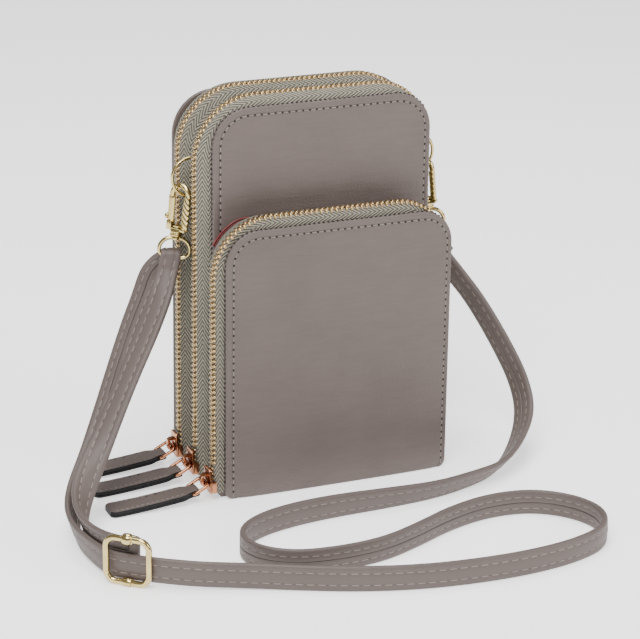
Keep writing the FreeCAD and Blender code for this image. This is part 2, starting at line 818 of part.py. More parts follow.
def buckle_place(shape):
    """Turn a part drawn in the x-z plane at the origin into the strap's line at the buckle."""
    middle = at(*floor_route[-1])
    turned = shape.copy()
    turned.rotate(at(0, 0, 0), Z, buckle_turn_degrees)
    turned.translate(at(middle.x, middle.y, 0))
    return turned


def buckle_bar(front, back, low, high):
    """Wire bent back at both ends, with a knob at its head and an open crimp at its foot."""
    turn = buckle_bar_bend_radius
    edges = [
        line(at(front, 0, low), at(back + turn, 0, low)),
        corner(at(back + turn, 0, low + turn), turn, 270, -90),
        line(at(back, 0, low + turn), at(back, 0, high - turn)),
        corner(at(back + turn, 0, high - turn), turn, 180, -90),
        line(at(back + turn, 0, high), at(front, 0, high)),
    ]
    wire = wire_loop(edges, buckle_bar_radius)
    wire.rotate(at(0, 0, 0), Z, 90)
    crimp = X * buckle_crimp_half_length
    foot = at(0, front, low)
    sleeve = rod(foot - crimp, foot + crimp, buckle_crimp_radius)
    reach = buckle_length
    sleeve = sleeve.cut(box(at(-reach, -reach, -reach), at(reach, reach, buckle_crimp_foot)))
    return wire.fuse([sleeve, Part.makeSphere(buckle_knob_radius, at(0, front, high))])


def buckle():
    """Wire frame in front of the strap, and a centre bar behind it that the strap's end is sewn round."""
    half = buckle_length / 2 - buckle_wire / 2
    low = buckle_wire / 2
    high = buckle_height - buckle_wire / 2
    turn = buckle_corner_radius
    front = strap_thickness / 2 + buckle_gap + buckle_wire / 2
    edges = [
        line(at(0, front, low), at(half - turn, front, low)),
        corner(at(half - turn, front, low + turn), turn, 270, 90),
        line(at(half, front, low + turn), at(half, front, high - turn)),
        corner(at(half - turn, front, high - turn), turn, 0, 90),
        line(at(half - turn, front, high), at(-half + turn, front, high)),
        corner(at(-half + turn, front, high - turn), turn, 90, 90),
        line(at(-half, front, high - turn), at(-half, front, low + turn)),
        corner(at(-half + turn, front, low + turn), turn, 180, 90),
        line(at(-half + turn, front, low), at(0, front, low)),
    ]
    frame = wire_loop(edges, buckle_wire / 2)
    back = -strap_thickness / 2 - buckle_gap - end_loop_thickness - end_loop_gap - buckle_bar_radius
    bar = buckle_bar(front, back, low, high).cut(frame).removeSplitter()
    middle = end_ply_route[-1][0][2]
    loop_foot = at(0, back, middle - strap_width / 2)
    loop_head = at(0, back, middle + strap_width / 2)
    inner = buckle_bar_radius + end_loop_gap
    loop = rod(loop_foot, loop_head, inner + end_loop_thickness).cut(rod(loop_foot, loop_head, inner))
    save("buckle_frame", buckle_place(frame))
    save("buckle_bar", buckle_place(bar))
    save("strap_end_loop", buckle_place(loop))


def main():
    os.makedirs("parts", exist_ok=True)
    body()
    zips()
    inside()
    pulls()
    hooks()
    strap()
    buckle()


main()
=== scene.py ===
"""Phone pouch: the looks of a small crossbody pouch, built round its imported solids."""
import math
from collections import namedtuple
from types import SimpleNamespace

import bmesh
import bpy
import numpy as np
from mathutils import Matrix, Vector


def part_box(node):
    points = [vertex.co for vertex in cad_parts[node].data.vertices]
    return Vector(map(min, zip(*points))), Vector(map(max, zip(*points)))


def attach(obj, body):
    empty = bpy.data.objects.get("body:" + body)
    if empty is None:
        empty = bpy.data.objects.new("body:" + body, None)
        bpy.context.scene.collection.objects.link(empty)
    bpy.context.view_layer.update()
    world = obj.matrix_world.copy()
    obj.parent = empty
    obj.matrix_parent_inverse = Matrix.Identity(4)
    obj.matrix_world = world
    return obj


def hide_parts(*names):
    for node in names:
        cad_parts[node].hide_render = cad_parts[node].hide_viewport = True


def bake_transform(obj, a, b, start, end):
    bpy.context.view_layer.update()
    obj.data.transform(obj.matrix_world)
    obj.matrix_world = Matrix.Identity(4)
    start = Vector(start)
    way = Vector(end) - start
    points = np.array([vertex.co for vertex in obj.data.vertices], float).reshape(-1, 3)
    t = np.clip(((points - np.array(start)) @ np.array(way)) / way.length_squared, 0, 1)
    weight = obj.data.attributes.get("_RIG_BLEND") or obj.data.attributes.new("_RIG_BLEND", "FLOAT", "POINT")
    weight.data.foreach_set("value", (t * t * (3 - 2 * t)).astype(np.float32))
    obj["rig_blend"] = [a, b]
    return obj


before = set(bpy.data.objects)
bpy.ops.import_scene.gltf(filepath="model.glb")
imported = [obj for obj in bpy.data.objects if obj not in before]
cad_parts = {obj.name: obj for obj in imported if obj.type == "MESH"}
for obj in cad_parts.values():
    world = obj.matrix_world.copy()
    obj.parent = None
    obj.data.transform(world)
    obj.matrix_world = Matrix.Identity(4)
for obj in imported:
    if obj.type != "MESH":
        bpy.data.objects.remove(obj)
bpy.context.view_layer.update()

bl_info = {
    "name": "Phone pouch",
    "version": (1, 0, 0),
    "blender": (4, 5, 0),
    "location": "View3D > Sidebar > Pouch",
    "description": "Leather, zips, hooks and strap of a small crossbody phone pouch",
    "category": "Object",
}

MM = 0.001
ACROSS = Vector((1, 0, 0))
DEEP = Vector((0, 1, 0))
UP = Vector((0, 0, 1))


def box_of(node):
    """Lowest and highest corner of a solid, in millimetres."""
    return [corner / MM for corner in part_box(node)]


# Sizes that the solids give, in millimetres
PANEL_LOW, PANEL_HIGH = box_of("front_panel")
POCKET_LOW, POCKET_HIGH = box_of("pocket_panel")
BACK_FACE = box_of("back_panel")[1].y
PANEL_FACE, POCKET_FACE = PANEL_LOW.y, POCKET_LOW.y
PANEL_TOP, POCKET_TOP = PANEL_HIGH.z, POCKET_HIGH.z
HALF_WIDTH = PANEL_HIGH.x
LEATHER = PANEL_HIGH.y - PANEL_LOW.y

# Zips, in millimetres: place, top, corner radius and the share of the rise that is left on the right side
ZipWay = namedtuple("ZipWay", "y top radius press")
ZIPS = {
    "back": ZipWay(10.5, PANEL_TOP - 1.0, 23.5, 0.43),
    "main": ZipWay(-10.5, PANEL_TOP, 23.5, 0.43),
    "pocket": ZipWay(-32.8, POCKET_TOP + 1.9, 22.0, 0.6),
}
# Rise of the tapes at their chains, depth of the valley between the full-height zips, and top of a slider
TAPE_RISE = 3.4
VALLEY = 9.0
SLIDER_TOP = 15.0


# Small helpers


def paint(red, green, blue):
    """Linear colour of a display colour given in 0 to 255."""
    shares = [level / 255 for level in (red, green, blue)]
    return tuple(s / 12.92 if s <= 0.04045 else ((s + 0.055) / 1.055) ** 2.4 for s in shares)


def smooth(share):
    """Share held between 0 and 1, with a gentle start and end."""
    held = min(max(share, 0.0), 1.0)
    return held * held * (3 - 2 * held)


def flipped(row):
    """Mirror image of a row of pairs, from its far end."""
    return [(-a, b) for a, b in row[::-1]]


def part(points, faces, finish=0, uv=None):
    """Points in millimetres, faces, the number of the finish, and the place on a pattern of each point."""
    return {"points": [Vector(p) for p in points], "faces": faces, "finish": finish, "uv": uv}


def moved(one, matrix):
    """Part put elsewhere by a matrix."""
    return dict(one, points=[matrix @ p for p in one["points"]])


def show(name, data):
    """New object in the scene."""
    made = bpy.data.objects.new(name, data)
    bpy.context.scene.collection.objects.link(made)
    return made


def shade(mesh, sharp_degrees):
    """Smooth shading, apart from edges that turn by more than an angle."""
    mesh.shade_smooth()
    mesh.set_sharp_from_angle(angle=math.radians(sharp_degrees))


def piece(name, parts, finishes, body, stands_for=(), sharp_degrees=40.0):
    """Mesh object made of parts, riding on a body."""
    points, faces, numbers, places = [], [], [], []
    for one in parts:
        base = len(points)
        points += [p * MM for p in one["points"]]
        places += one["uv"] or [(0.0, 0.0)] * len(one["points"])
        faces += [[base + corner for corner in face] for face in one["faces"]]
        numbers += [one["finish"]] * len(one["faces"])
    if not faces:
        raise RuntimeError(name + " has no faces")
    mesh = bpy.data.meshes.new(name)
    mesh.from_pydata(points, [], faces)
    mesh.polygons.foreach_set("material_index", numbers)
    if any(one["uv"] for one in parts):
        layer = mesh.uv_layers.new(name="weave")
        corners = [places[loop.vertex_index] for loop in mesh.loops]
        layer.data.foreach_set("uv", np.array(corners, np.float32).ravel())
    work = bmesh.new()
    work.from_mesh(mesh)
    bmesh.ops.recalc_face_normals(work, faces=work.faces)
    work.to_mesh(mesh)
    work.free()
    shade(mesh, sharp_degrees)
    for material in finishes:
        mesh.materials.append(material)
    return settle(show(name, mesh), body, stands_for)


def settle(made, body, stands_for=()):
    """Set a piece on its body, in the place of the solids that it stands for."""
    if body:
        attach(made, body)
    if stands_for:
        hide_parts(*stands_for)
    return made


def loft(rings, around=True, start=True, end=True, finish=0, uv=None):
    """Skin over rings of equally many points, capped at its ends."""
    count = len(rings[0])
    points = [p for ring in rings for p in ring]
    faces = []
    for row in range(len(rings) - 1):
        for column in range(count if around else count - 1):
            beside = (column + 1) % count
            base, above = row * count, (row + 1) * count
            faces.append([base + column, base + beside, above + beside, above + column])
    if start:
        faces.append(list(range(count - 1, -1, -1)))
    if end:
        faces.append(list(range(len(points) - count, len(points))))
    return part(points, faces, finish, uv)


ROUND_END_DEGREES = (80, 55, 30)


def tube(points, radius, up, closed=False, sides=14, swell=None, finish=0):
    """Wire with round ends along points that lie in one plane, whose normal is up. swell gives a radius share
    by row and angle."""
    line = [Vector(p) for p in points]
    count = len(line)
    up = Vector(up)
    rows = []
    for i, p in enumerate(line):
        ahead = line[(i + 1) % count] if closed or i + 1 < count else p
        behind = line[i - 1] if closed or i else p
        heading = (ahead - behind).normalized()
        rows.append((p, heading, heading.cross(up).normalized(), 1.0))
    if not closed:
        lean = [math.radians(a) for a in ROUND_END_DEGREES]
        place, heading, side, _ = rows[0]
        opening = [(place - heading * radius * math.sin(a), heading, side, math.cos(a)) for a in lean]
        place, heading, side, _ = rows[-1]
        closing = [(place + heading * radius * math.sin(a), heading, side, math.cos(a)) for a in lean[::-1]]
        rows = opening + rows + closing
    rings = []
    for i, (p, _, side, share) in enumerate(rows):
        ring = []
        for k in range(sides):
            angle = 2 * math.pi * k / sides
            reach = radius * share * (swell(i, angle) if swell else 1.0)
            ring.append(p + side * math.cos(angle) * reach + up * math.sin(angle) * reach)
        rings.append(ring)
    if closed:
        rings.append(rings[0])
    return loft(rings, start=not closed, end=not closed, finish=finish)


def square_wire(_, angle, power=2.7):
    """Radius share of a wire whose section is a soft square."""
    return (abs(math.cos(angle)) ** power + abs(math.sin(angle)) ** power) ** (-1 / power)


def flat_wire(_, angle, widening=3.0):
    """Radius share of a flat wire, wider in the plane of its line by the root of widening."""
    return (math.cos(angle) ** 2 / widening + math.sin(angle) ** 2) ** -0.5


def arc(centre, radius, start_degrees, turn_degrees, steps=8, across=ACROSS, along=UP):
    """Points on an arc in the plane of two directions."""
    found = []
    for k in range(steps + 1):
        angle = math.radians(start_degrees + turn_degrees * k / steps)
        found.append(Vector(centre) + across * math.cos(angle) * radius + along * math.sin(angle) * radius)
    return found


def round_frame(origin, low, high, turn, steps, across=ACROSS, along=UP, first=0):
    """Closed line of a frame with round corners, between two corners in the plane of two directions. first is
    the bend at which it starts, counted from the one that is near across and far along."""
    near, far = low[0] + turn, high[0] - turn
    foot, top = low[1] + turn, high[1] - turn
    bends = [(near, top, 90), (near, foot, 180), (far, foot, 270), (far, top, 0)]
    line = []
    for a, b, start in bends[first:] + bends[:first]:
        line += arc(Vector(origin) + across * a + along * b, turn, start, 90, steps, across, along)
    return line


def lathe(profile, sides=24):
    """Turned piece about z, from radii and heights."""
    rings = []
    for radius, height in profile:
        rings.append([(radius * math.cos(2 * math.pi * k / sides), radius * math.sin(2 * math.pi * k / sides),
                       height) for k in range(sides)])
    return loft(rings)


def slab(outline, push, bevel, segments=2):
    """Flat outline pushed along a vector, with its edges rounded."""
    work = bmesh.new()
    face = work.faces.new([work.verts.new(p) for p in outline])
    grown = bmesh.ops.extrude_face_region(work, geom=[face])
    fresh = [g for g in grown["geom"] if isinstance(g, bmesh.types.BMVert)]
    bmesh.ops.translate(work, vec=Vector(push), verts=fresh)
    bmesh.ops.recalc_face_normals(work, faces=work.faces)
    bmesh.ops.bevel(work, geom=work.edges[:], offset=bevel, segments=segments, profile=0.6,
                    affect="EDGES", clamp_overlap=True)
    work.verts.index_update()
    points = [v.co.copy() for v in work.verts]
    faces = [[v.index for v in f.verts] for f in work.faces]
    work.free()
    return part(points, faces)


def block(low, high, bevel):
    """Block between two corners, with its edges rounded."""
    low, high = Vector(low), Vector(high)
    outline = [(low.x, low.y, low.z), (high.x, low.y, low.z), (high.x, high.y, low.z), (low.x, high.y, low.z)]
    return slab(outline, (0, 0, high.z - low.z), bevel)


def side_block(side, near, far, low, high, bevel):
    """Block that reaches across x from near to far on one side, between two pairs of y and z."""
    first, second = sorted((side * near, side * far))
    return block((first, *low), (second, *high), bevel)


# Colours and sizes that a user can change


def tint(name, description, red, green, blue):
    """Colour whose default is a display colour in 0 to 255."""
    return bpy.props.FloatVectorProperty(
        name=name, description=description, subtype="COLOR", min=0.0, max=1.0,
        default=paint(red, green, blue))


def length(name, description, millimetres, least=0.0):
    """Length whose default and least value are given in millimetres."""
    return bpy.props.FloatProperty(
        name=name, description=description, subtype="DISTANCE", unit="LENGTH", precision=5,
        default=millimetres * MM, min=least * MM)


class PouchColours(bpy.types.PropertyGroup):
    """Colours of the pouch."""

    leather: tint("Leather", "Panels and pulls", 93, 82, 78)
    strap: tint("Strap", "Leather of the strap", 93, 82, 78)
    tape: tint("Zip tape", "Herringbone tape", 136, 131, 118)
    thread: tint("Thread", "Thread of the panels", 130, 119, 112)
    strap_thread: tint("Strap thread", "Thread of the strap and the pulls", 136, 125, 118)
    edge: tint("Edge paint", "Painted edges of the pulls", 11, 11, 13)
    teeth: tint("Zip teeth", "Metal of the zip chains", 204, 176, 130)
    gold: tint("Gold", "Rings, hooks and buckle", 216, 194, 132)
    rose: tint("Rose gold", "Sliders and links", 192, 132, 98)
    lining: tint("Lining", "Cloth inside", 112, 104, 100)
    trim: tint("Trim", "Coloured edge behind the pocket", 150, 58, 58)


class PouchSizes(bpy.types.PropertyGroup):
    """Sizes that the looks add to the solids."""

    panel_crown: length("Panel crown", "How far the pocket's panel swells", 1.1)
    back_overhang: length("Back overhang", "How far the back's leather reaches past the zips", 3.9)
    stitch_inset: length("Stitch inset", "Seam's distance from a panel's edge", 3.6, 1.0)
    stitch_pitch: length("Stitch pitch", "Length of a stitch on the panels", 3.15, 1.0)
    strap_stitch_pitch: length("Strap stitch pitch", "Length of a stitch on the strap", 4.5, 1.0)
    strap_seam: length("Strap seam", "Seams' distance from the strap's middle", 2.55, 0.5)
    tooth_pitch: length("Tooth pitch", "Spacing of the teeth on one tape", 2.35, 1.0)
    strap_width: length("Strap width", "Width of the strap", 11.0, 4.0)
    strap_thickness: length("Strap thickness", "Thickness of the strap", 2.6, 1.0)


def sizes():
    """The sizes in millimetres."""
    group = bpy.context.scene.pouch_sizes
    names = [p.identifier for p in group.bl_rna.properties if p.type == "FLOAT"]
    return SimpleNamespace(**{name: round(getattr(group, name) / MM, 4) for name in names})


# Finishes


def add(tree, kind, settings=None, inputs=None):
    """Node of a tree with its settings, and with values or links on its inputs."""
    node = tree.nodes.new(kind)
    for key, value in (settings or {}).items():
        setattr(node, key, value)
    for key, value in (inputs or {}).items():
        if isinstance(value, bpy.types.NodeSocket):
            tree.links.new(value, node.inputs[key])
        else:
            node.inputs[key].default_value = value
    return node


def maths(tree, operation, first, second=0.0, third=0.0):
    """Result of a calculation in a tree."""
    return add(tree, "ShaderNodeMath", {"operation": operation}, {0: first, 1: second, 2: third}).outputs[0]


def noise(tree, place, scale, detail, distortion=0.0):
    """Cloudy pattern in a tree."""
    inputs = {"Vector": place, "Scale": scale, "Detail": detail, "Distortion": distortion}
    return add(tree, "ShaderNodeTexNoise", None, inputs).outputs["Fac"]


def object_place(tree):
    """Object coordinates in a tree."""
    return add(tree, "ShaderNodeTexCoord").outputs["Object"]


def new_group(name, **inputs):
    """Pattern with named inputs that puts out a height and a shade."""
    tree = bpy.data.node_groups.new(name, "ShaderNodeTree")
    for label, value in inputs.items():
        socket = tree.interface.new_socket(label, in_out="INPUT", socket_type="NodeSocketFloat")
        socket.default_value = value
    for label in ("Height", "Shade"):
        tree.interface.new_socket(label, in_out="OUTPUT", socket_type="NodeSocketFloat")
    return tree, tree.nodes.new("NodeGroupInput").outputs, tree.nodes.new("NodeGroupOutput").inputs


def grain_group(name):
    """Leather grain: fine pebbles, faint level creases whose low parts hold painted shade, and a slow cloudy tone.
    """
    tree, given, out = new_group(name, Pebble=1100.0, Crease=0.5)
    place = object_place(tree)
    pebble = add(tree, "ShaderNodeTexVoronoi", {"feature": "SMOOTH_F1"},
                 {"Vector": place, "Scale": given["Pebble"], "Smoothness": 0.6}).outputs["Distance"]
    fine = maths(tree, "MULTIPLY", noise(tree, place, 2600.0, 2.0), 0.35)
    level = add(tree, "ShaderNodeMapping", None, {"Vector": place, "Scale": (90.0, 90.0, 620.0)}).outputs[0]
    crease = maths(tree, "MULTIPLY", noise(tree, level, 1.0, 3.0, 0.6), given["Crease"])
    rough = maths(tree, "MULTIPLY_ADD", pebble, 0.5, fine)
    tree.links.new(maths(tree, "ADD", rough, crease), out["Height"])
    cloud = noise(tree, place, 38.0, 3.0)
    # The creases' low parts are painted darker as painted shade; the cloud is the leather's own uneven tone
    shade = maths(tree, "MULTIPLY_ADD", cloud, 0.6, maths(tree, "MULTIPLY", crease, 0.55))
    tree.links.new(shade, out["Shade"])
    return tree


def weave_group(name):
    """Herringbone tape: slanting strands that meet in a ridge along the tape's middle, in millimetres, with
    painted shade in the low places between the strands.
    """
    tree, given, out = new_group(name, Pitch=2.1, Slant=1.75, Column=2.7)
    place = add(tree, "ShaderNodeUVMap", {"uv_map": "weave"}).outputs[0]
    apart = add(tree, "ShaderNodeSeparateXYZ", None, {0: place}).outputs
    away = maths(tree, "PINGPONG", apart["Y"], given["Column"])
    run = maths(tree, "MULTIPLY_ADD", away, given["Slant"], apart["X"])
    turn = maths(tree, "MULTIPLY", maths(tree, "DIVIDE", run, given["Pitch"]), 2 * math.pi)
    strand = maths(tree, "MULTIPLY_ADD", maths(tree, "SINE", turn), 0.5, 0.5)
    strand = maths(tree, "POWER", strand, 0.8)
    cross = maths(tree, "SINE", maths(tree, "MULTIPLY", maths(tree, "SUBTRACT", apart["X"], away), 9.0))
    strand = maths(tree, "MULTIPLY_ADD", cross, 0.08, strand)
    tree.links.new(strand, out["Height"])
    fuzz = noise(tree, object_place(tree), 1500.0, 2.0)
    # Shade: the low places between strands are painted dark as painted shade; the fuzz is the yarn's own uneven
    # tone
    tree.links.new(maths(tree, "MULTIPLY_ADD", fuzz, 0.3, maths(tree, "MULTIPLY", strand, 0.8)), out["Shade"])
    return tree


def rub_and_reflection_group(name):
    """Plated metal: soft waves, bumped and also painted as darker and lighter reflection patches, and fine rub
    marks.
    """
    tree, given, out = new_group(name, Wave=160.0)
    place = object_place(tree)
    wave = noise(tree, place, given["Wave"], 2.0)
    tree.links.new(wave, out["Height"])
    rub = noise(tree, place, 2400.0, 3.0)
    # Shade: the soft waves paint reflection patches; the rub marks are wear
    tree.links.new(maths(tree, "MULTIPLY_ADD", rub, 0.4, maths(tree, "MULTIPLY", wave, 0.6)), out["Shade"])
    return tree


PATTERNS = {"leather_grain": grain_group, "herringbone": weave_group, "polish": rub_and_reflection_group}


def finish_of(name, group, colour, tones, rough, bump, inputs=None, plain=None):
    """Material whose colour, roughness and bump come from a pattern. tones and rough belong to the pattern's
    darkest and lightest places, and bump is a strength and a height in millimetres."""
    made = bpy.data.materials.new(name)
    made.use_nodes = True
    tree = made.node_tree
    tree.nodes.clear()
    drawn = bpy.data.node_groups.get(group) or PATTERNS[group](group)
    pattern = add(tree, "ShaderNodeGroup", {"node_tree": drawn}, inputs).outputs
    dark, light = [(*(level * share for level in colour), 1.0) for share in tones]
    ramp = add(tree, "ShaderNodeMapRange", None,
               {"Value": pattern["Shade"], "From Min": 0.2, "From Max": 0.8}).outputs["Result"]
    colour = add(tree, "ShaderNodeMix", {"data_type": "RGBA"}, {"Factor": ramp, 6: dark, 7: light}).outputs[2]
    gloss = add(tree, "ShaderNodeMapRange", None,
                {"Value": pattern["Shade"], "To Min": rough[0], "To Max": rough[1]}).outputs["Result"]
    bent = add(tree, "ShaderNodeBump", None,
               {"Height": pattern["Height"], "Strength": bump[0], "Distance": bump[1] * MM}).outputs["Normal"]
    shader = add(tree, "ShaderNodeBsdfPrincipled", None,
                 {"Base Color": colour, "Roughness": gloss, "Normal": bent, **(plain or {})})
    tree.links.new(shader.outputs[0], tree.nodes.new("ShaderNodeOutputMaterial").inputs[0])
    return made


def recipes():
    """Pattern, colour, tones, roughness, bump, pattern inputs and fixed settings of each finish."""
    paints = bpy.context.scene.pouch_colours
    metal = {"Metallic": 1.0}

    def grain(pebble, crease=0.0):
        return {"Pebble": pebble, "Crease": crease}

    def shine(level):
        return {"Specular IOR Level": level}

    return {
        "panel_leather": ("leather_grain", paints.leather, (0.80, 1.09), (0.42, 0.56), (0.42, 0.55),
                          grain(1250.0, 0.85), shine(0.4)),
        "strap_leather": ("leather_grain", paints.strap, (0.88, 1.06), (0.46, 0.6), (0.25, 0.3),
                          grain(1500.0, 0.1), shine(0.38)),
        "edge_paint": ("leather_grain", paints.edge, (0.7, 1.3), (0.5, 0.65), (0.15, 0.2),
                       grain(900.0), shine(0.25)),
        "panel_thread": ("leather_grain", paints.thread, (0.8, 1.1), (0.6, 0.8), (0.3, 0.2), grain(2600.0)),
        "strap_thread": ("leather_grain", paints.strap_thread, (0.85, 1.08), (0.6, 0.8), (0.3, 0.2),
                         grain(2600.0)),
        # Needle holes and edge nicks: the leather darkened almost to black, as painted shade in the holes and in
        # the seam where tape meets leather
        "needle_hole_shade": ("leather_grain", paints.leather, (0.06, 0.14), (0.8, 0.9), (0.1, 0.1)),
        # Seam gaps: the leather darkened as painted shade, for the strap's holes, the line where its edges meet
        # and the pocket edge's middle cord
        "seam_gap_shade": ("leather_grain", paints.leather, (0.10, 0.2), (0.8, 0.9), (0.1, 0.1)),
        "trim_leather": ("leather_grain", paints.trim, (0.85, 1.1), (0.4, 0.5), (0.2, 0.2), grain(1500.0)),
        # The tape's low tone is painted shade between the strands
        "tape_weave": ("herringbone", paints.tape, (0.25, 1.21), (0.75, 0.9), (0.8, 0.45), None, shine(0.25)),
        "lining_weave": ("leather_grain", paints.lining, (0.75, 1.15), (0.75, 0.92), (0.4, 0.3),
                         grain(2200.0, 0.2), shine(0.2)),
        # The metals' tones turn the soft waves into painted reflection patches
        "teeth_metal": ("polish", paints.teeth, (0.72, 1.0), (0.2, 0.34), (0.1, 0.1), None, metal),
        "gold_metal": ("polish", paints.gold, (0.6, 1.08), (0.1, 0.2), (0.1, 0.12), {"Wave": 240.0}, metal),
        "rose_metal": ("polish", paints.rose, (0.55, 1.08), (0.12, 0.26), (0.08, 0.1), None, metal),
    }


def finish(name):
    """The named material, made when it is first asked for."""
    return bpy.data.materials.get(name) or finish_of(name, *recipes()[name])


# Repeats along lines: stitches, needle holes and teeth

STEP_SHARE = 0.9999  # Keeps the last copy on a line that is a whole number of steps long
COPY_SHARP_DEGREES = 50.0


def repeat_tree(name):
    """Sets an item along lines, turned by the line and by the way that each point faces."""
    tree = bpy.data.node_groups.new(name, "GeometryNodeTree")
    for label, kind in (("Geometry", "Geometry"), ("Item", "Object"), ("Spacing", "Float"),
                        ("Material", "Material")):
        tree.interface.new_socket(label, in_out="INPUT", socket_type="NodeSocket" + kind)
    tree.interface.new_socket("Geometry", in_out="OUTPUT", socket_type="NodeSocketGeometry")
    given = tree.nodes.new("NodeGroupInput").outputs
    line = add(tree, "GeometryNodeMeshToCurve", None, {"Mesh": given["Geometry"]}).outputs[0]
    spots = add(tree, "GeometryNodeCurveToPoints", {"mode": "LENGTH"},
                {"Curve": line, "Length": given["Spacing"]}).outputs
    way = add(tree, "GeometryNodeInputNamedAttribute", {"data_type": "FLOAT_VECTOR"},
              {"Name": "face_way"}).outputs["Attribute"]
    turn = add(tree, "FunctionNodeAxesToRotation", {"primary_axis": "Z", "secondary_axis": "Y"},
               {"Primary Axis": spots["Tangent"], "Secondary Axis": way}).outputs[0]
    item = add(tree, "GeometryNodeObjectInfo", None, {"Object": given["Item"]}).outputs["Geometry"]
    set_out = add(tree, "GeometryNodeInstanceOnPoints", None,
                  {"Points": spots["Points"], "Instance": item, "Rotation": turn}).outputs[0]
    whole = add(tree, "GeometryNodeRealizeInstances", None, {0: set_out}).outputs[0]
    dressed = add(tree, "GeometryNodeSetMaterial", None,
                  {"Geometry": whole, "Material": given["Material"]}).outputs[0]
    tree.links.new(dressed, tree.nodes.new("NodeGroupOutput").inputs[0])
    return tree


def shorter(line, start, end):
    """A line of (points, ways) less a length at its start and at its end."""
    points, ways = list(line[0]), list(line[1])
    for cut in (start, end):
        while (points[1] - points[0]).length <= cut:
            cut -= (points[1] - points[0]).length
            points.pop(0)
            ways.pop(0)
        points[0] = points[0] + (points[1] - points[0]).normalized() * cut
        points.reverse()
        ways.reverse()
    return points, ways


def whole_steps(line, spacing, between):
    """A line cut to whole steps. Items that go between others start and end half a step further in."""
    long = sum((b - a).length for a, b in zip(line[0], line[0][1:]))
    line = shorter(line, 0.0, long % spacing)
    return shorter(line, spacing / 2, spacing / 2) if between else line


def repeat(name, lines, item, spacing, material, body, stands_for=(), between=False):
    """Piece made of copies of an item along lines of (points, ways), in millimetres."""
    points, edges, ways = [], [], []
    for line, facing in [whole_steps(one, spacing, between) for one in lines]:
        base = len(points)
        points += [Vector(p) * MM for p in line]
        edges += [(base + k, base + k + 1) for k in range(len(line) - 1)]
        ways += [Vector(w) for w in facing]
    mesh = bpy.data.meshes.new(name)
    mesh.from_pydata(points, edges, [])
    store = mesh.attributes.new("face_way", "FLOAT_VECTOR", "POINT")
    store.data.foreach_set("vector", np.array(ways, np.float32).ravel())
    made = show(name, mesh)
    tree = bpy.data.node_groups.get("repeat_along_line") or repeat_tree("repeat_along_line")
    names = {s.name: s.identifier for s in tree.interface.items_tree if s.in_out == "INPUT"}
    modifier = made.modifiers.new("repeat", "NODES")
    modifier.node_group = tree
    modifier[names["Item"]] = item
    modifier[names["Spacing"]] = spacing * MM * STEP_SHARE
    modifier[names["Material"]] = material
    seen = made.evaluated_get(bpy.context.evaluated_depsgraph_get())
    plain = bpy.data.meshes.new_from_object(seen)
    if not plain.polygons:
        raise RuntimeError(name + " has no copies")
    made.modifiers.clear()
    made.data = plain
    plain.name = name
    for attribute in [a for a in plain.attributes if a.name == "face_way"]:
        plain.attributes.remove(attribute)
    shade(plain, COPY_SHARP_DEGREES)
    return settle(made, body, stands_for)


def item_of(one, name):
    """Object that a repeat copies, itself in no collection."""
    mesh = bpy.data.meshes.new(name)
    mesh.from_pydata([p * MM for p in one["points"]], [], one["faces"])
    return bpy.data.objects.new(name, mesh)


def drop(*items):
    """Remove items that have been copied."""
    for item in items:
        bpy.data.objects.remove(item)


def stitch_item(long, width, height):
    """Thread of one stitch, sunk into the leather by 0.4 of its height."""
    low = (-width / 2, -height * 0.4, -long / 2)
    return item_of(block(low, (width / 2, height, long / 2), height * 0.55), "stitch")


def hole_item(radius, sides=8, depth=0.2, flare=1.1):
    """Mouth of a needle hole, a little wider below."""
    mouth = []
    for k in range(sides):
        angle = 2 * math.pi * k / sides
        mouth.append((radius * math.cos(angle), 0.0, radius * math.sin(angle)))
    lower = [(x * flare, -depth, z * flare) for x, _, z in mouth]
    return item_of(loft([lower, mouth]), "hole")


# Panels

# Top, corner radius and half width of a panel's leather, its shift to the right, and the share by which rows
# near the right edge draw closer to it
PanelShape = namedtuple("PanelShape", "top radius half shift tight")
# Panels' radii, rounding of their feet and places of their seams, in millimetres
PANEL_RADIUS = 16.5
LEAST_RADIUS = 0.4
EASE_REACH = 18.0
FOOT_ROLL = 0.9
FOOT_TUCK = 4.0
SEAM_FOOT = 2.0
SEAM_DEPTH, HOLE_RISE = 0.22, 0.14
EDGE_SEAM_DEPTH, EDGE_SEAM_OUT, NICK_PITCH = 0.75, 0.1, 2.2
LEG_SHARES = (0.0, 0.002, 0.006, 0.013, 0.024, 0.04, 0.08, 0.16, 0.28, 0.4, 0.52, 0.64, 0.76, 0.88)

# Inset, level in leather thicknesses and share of the swell
PANEL_PROFILE = [
    (1.8, -1.0, 0), (0.35, -1.0, 0), (0.06, -0.88, 0), (0.0, -0.68, 0), (0.0, -0.4, 0), (0.12, -0.2, 0),
    (0.45, -0.05, 0), (1.0, 0.03, 0), (1.9, 0.05, 0), (2.6, 0.03, 0), (3.1, -0.05, 0), (3.4, -0.12, 0),
    (3.75, -0.11, 0), (4.2, -0.01, 0.02), (5.0, 0.0, 0.14), (7.0, 0.0, 0.32), (11.0, 0.0, 0.56),
    (18.0, 0.0, 0.78), (27.0, 0.0, 0.92), (37.0, 0.0, 0.98), (46.0, 0.0, 1.0),
]


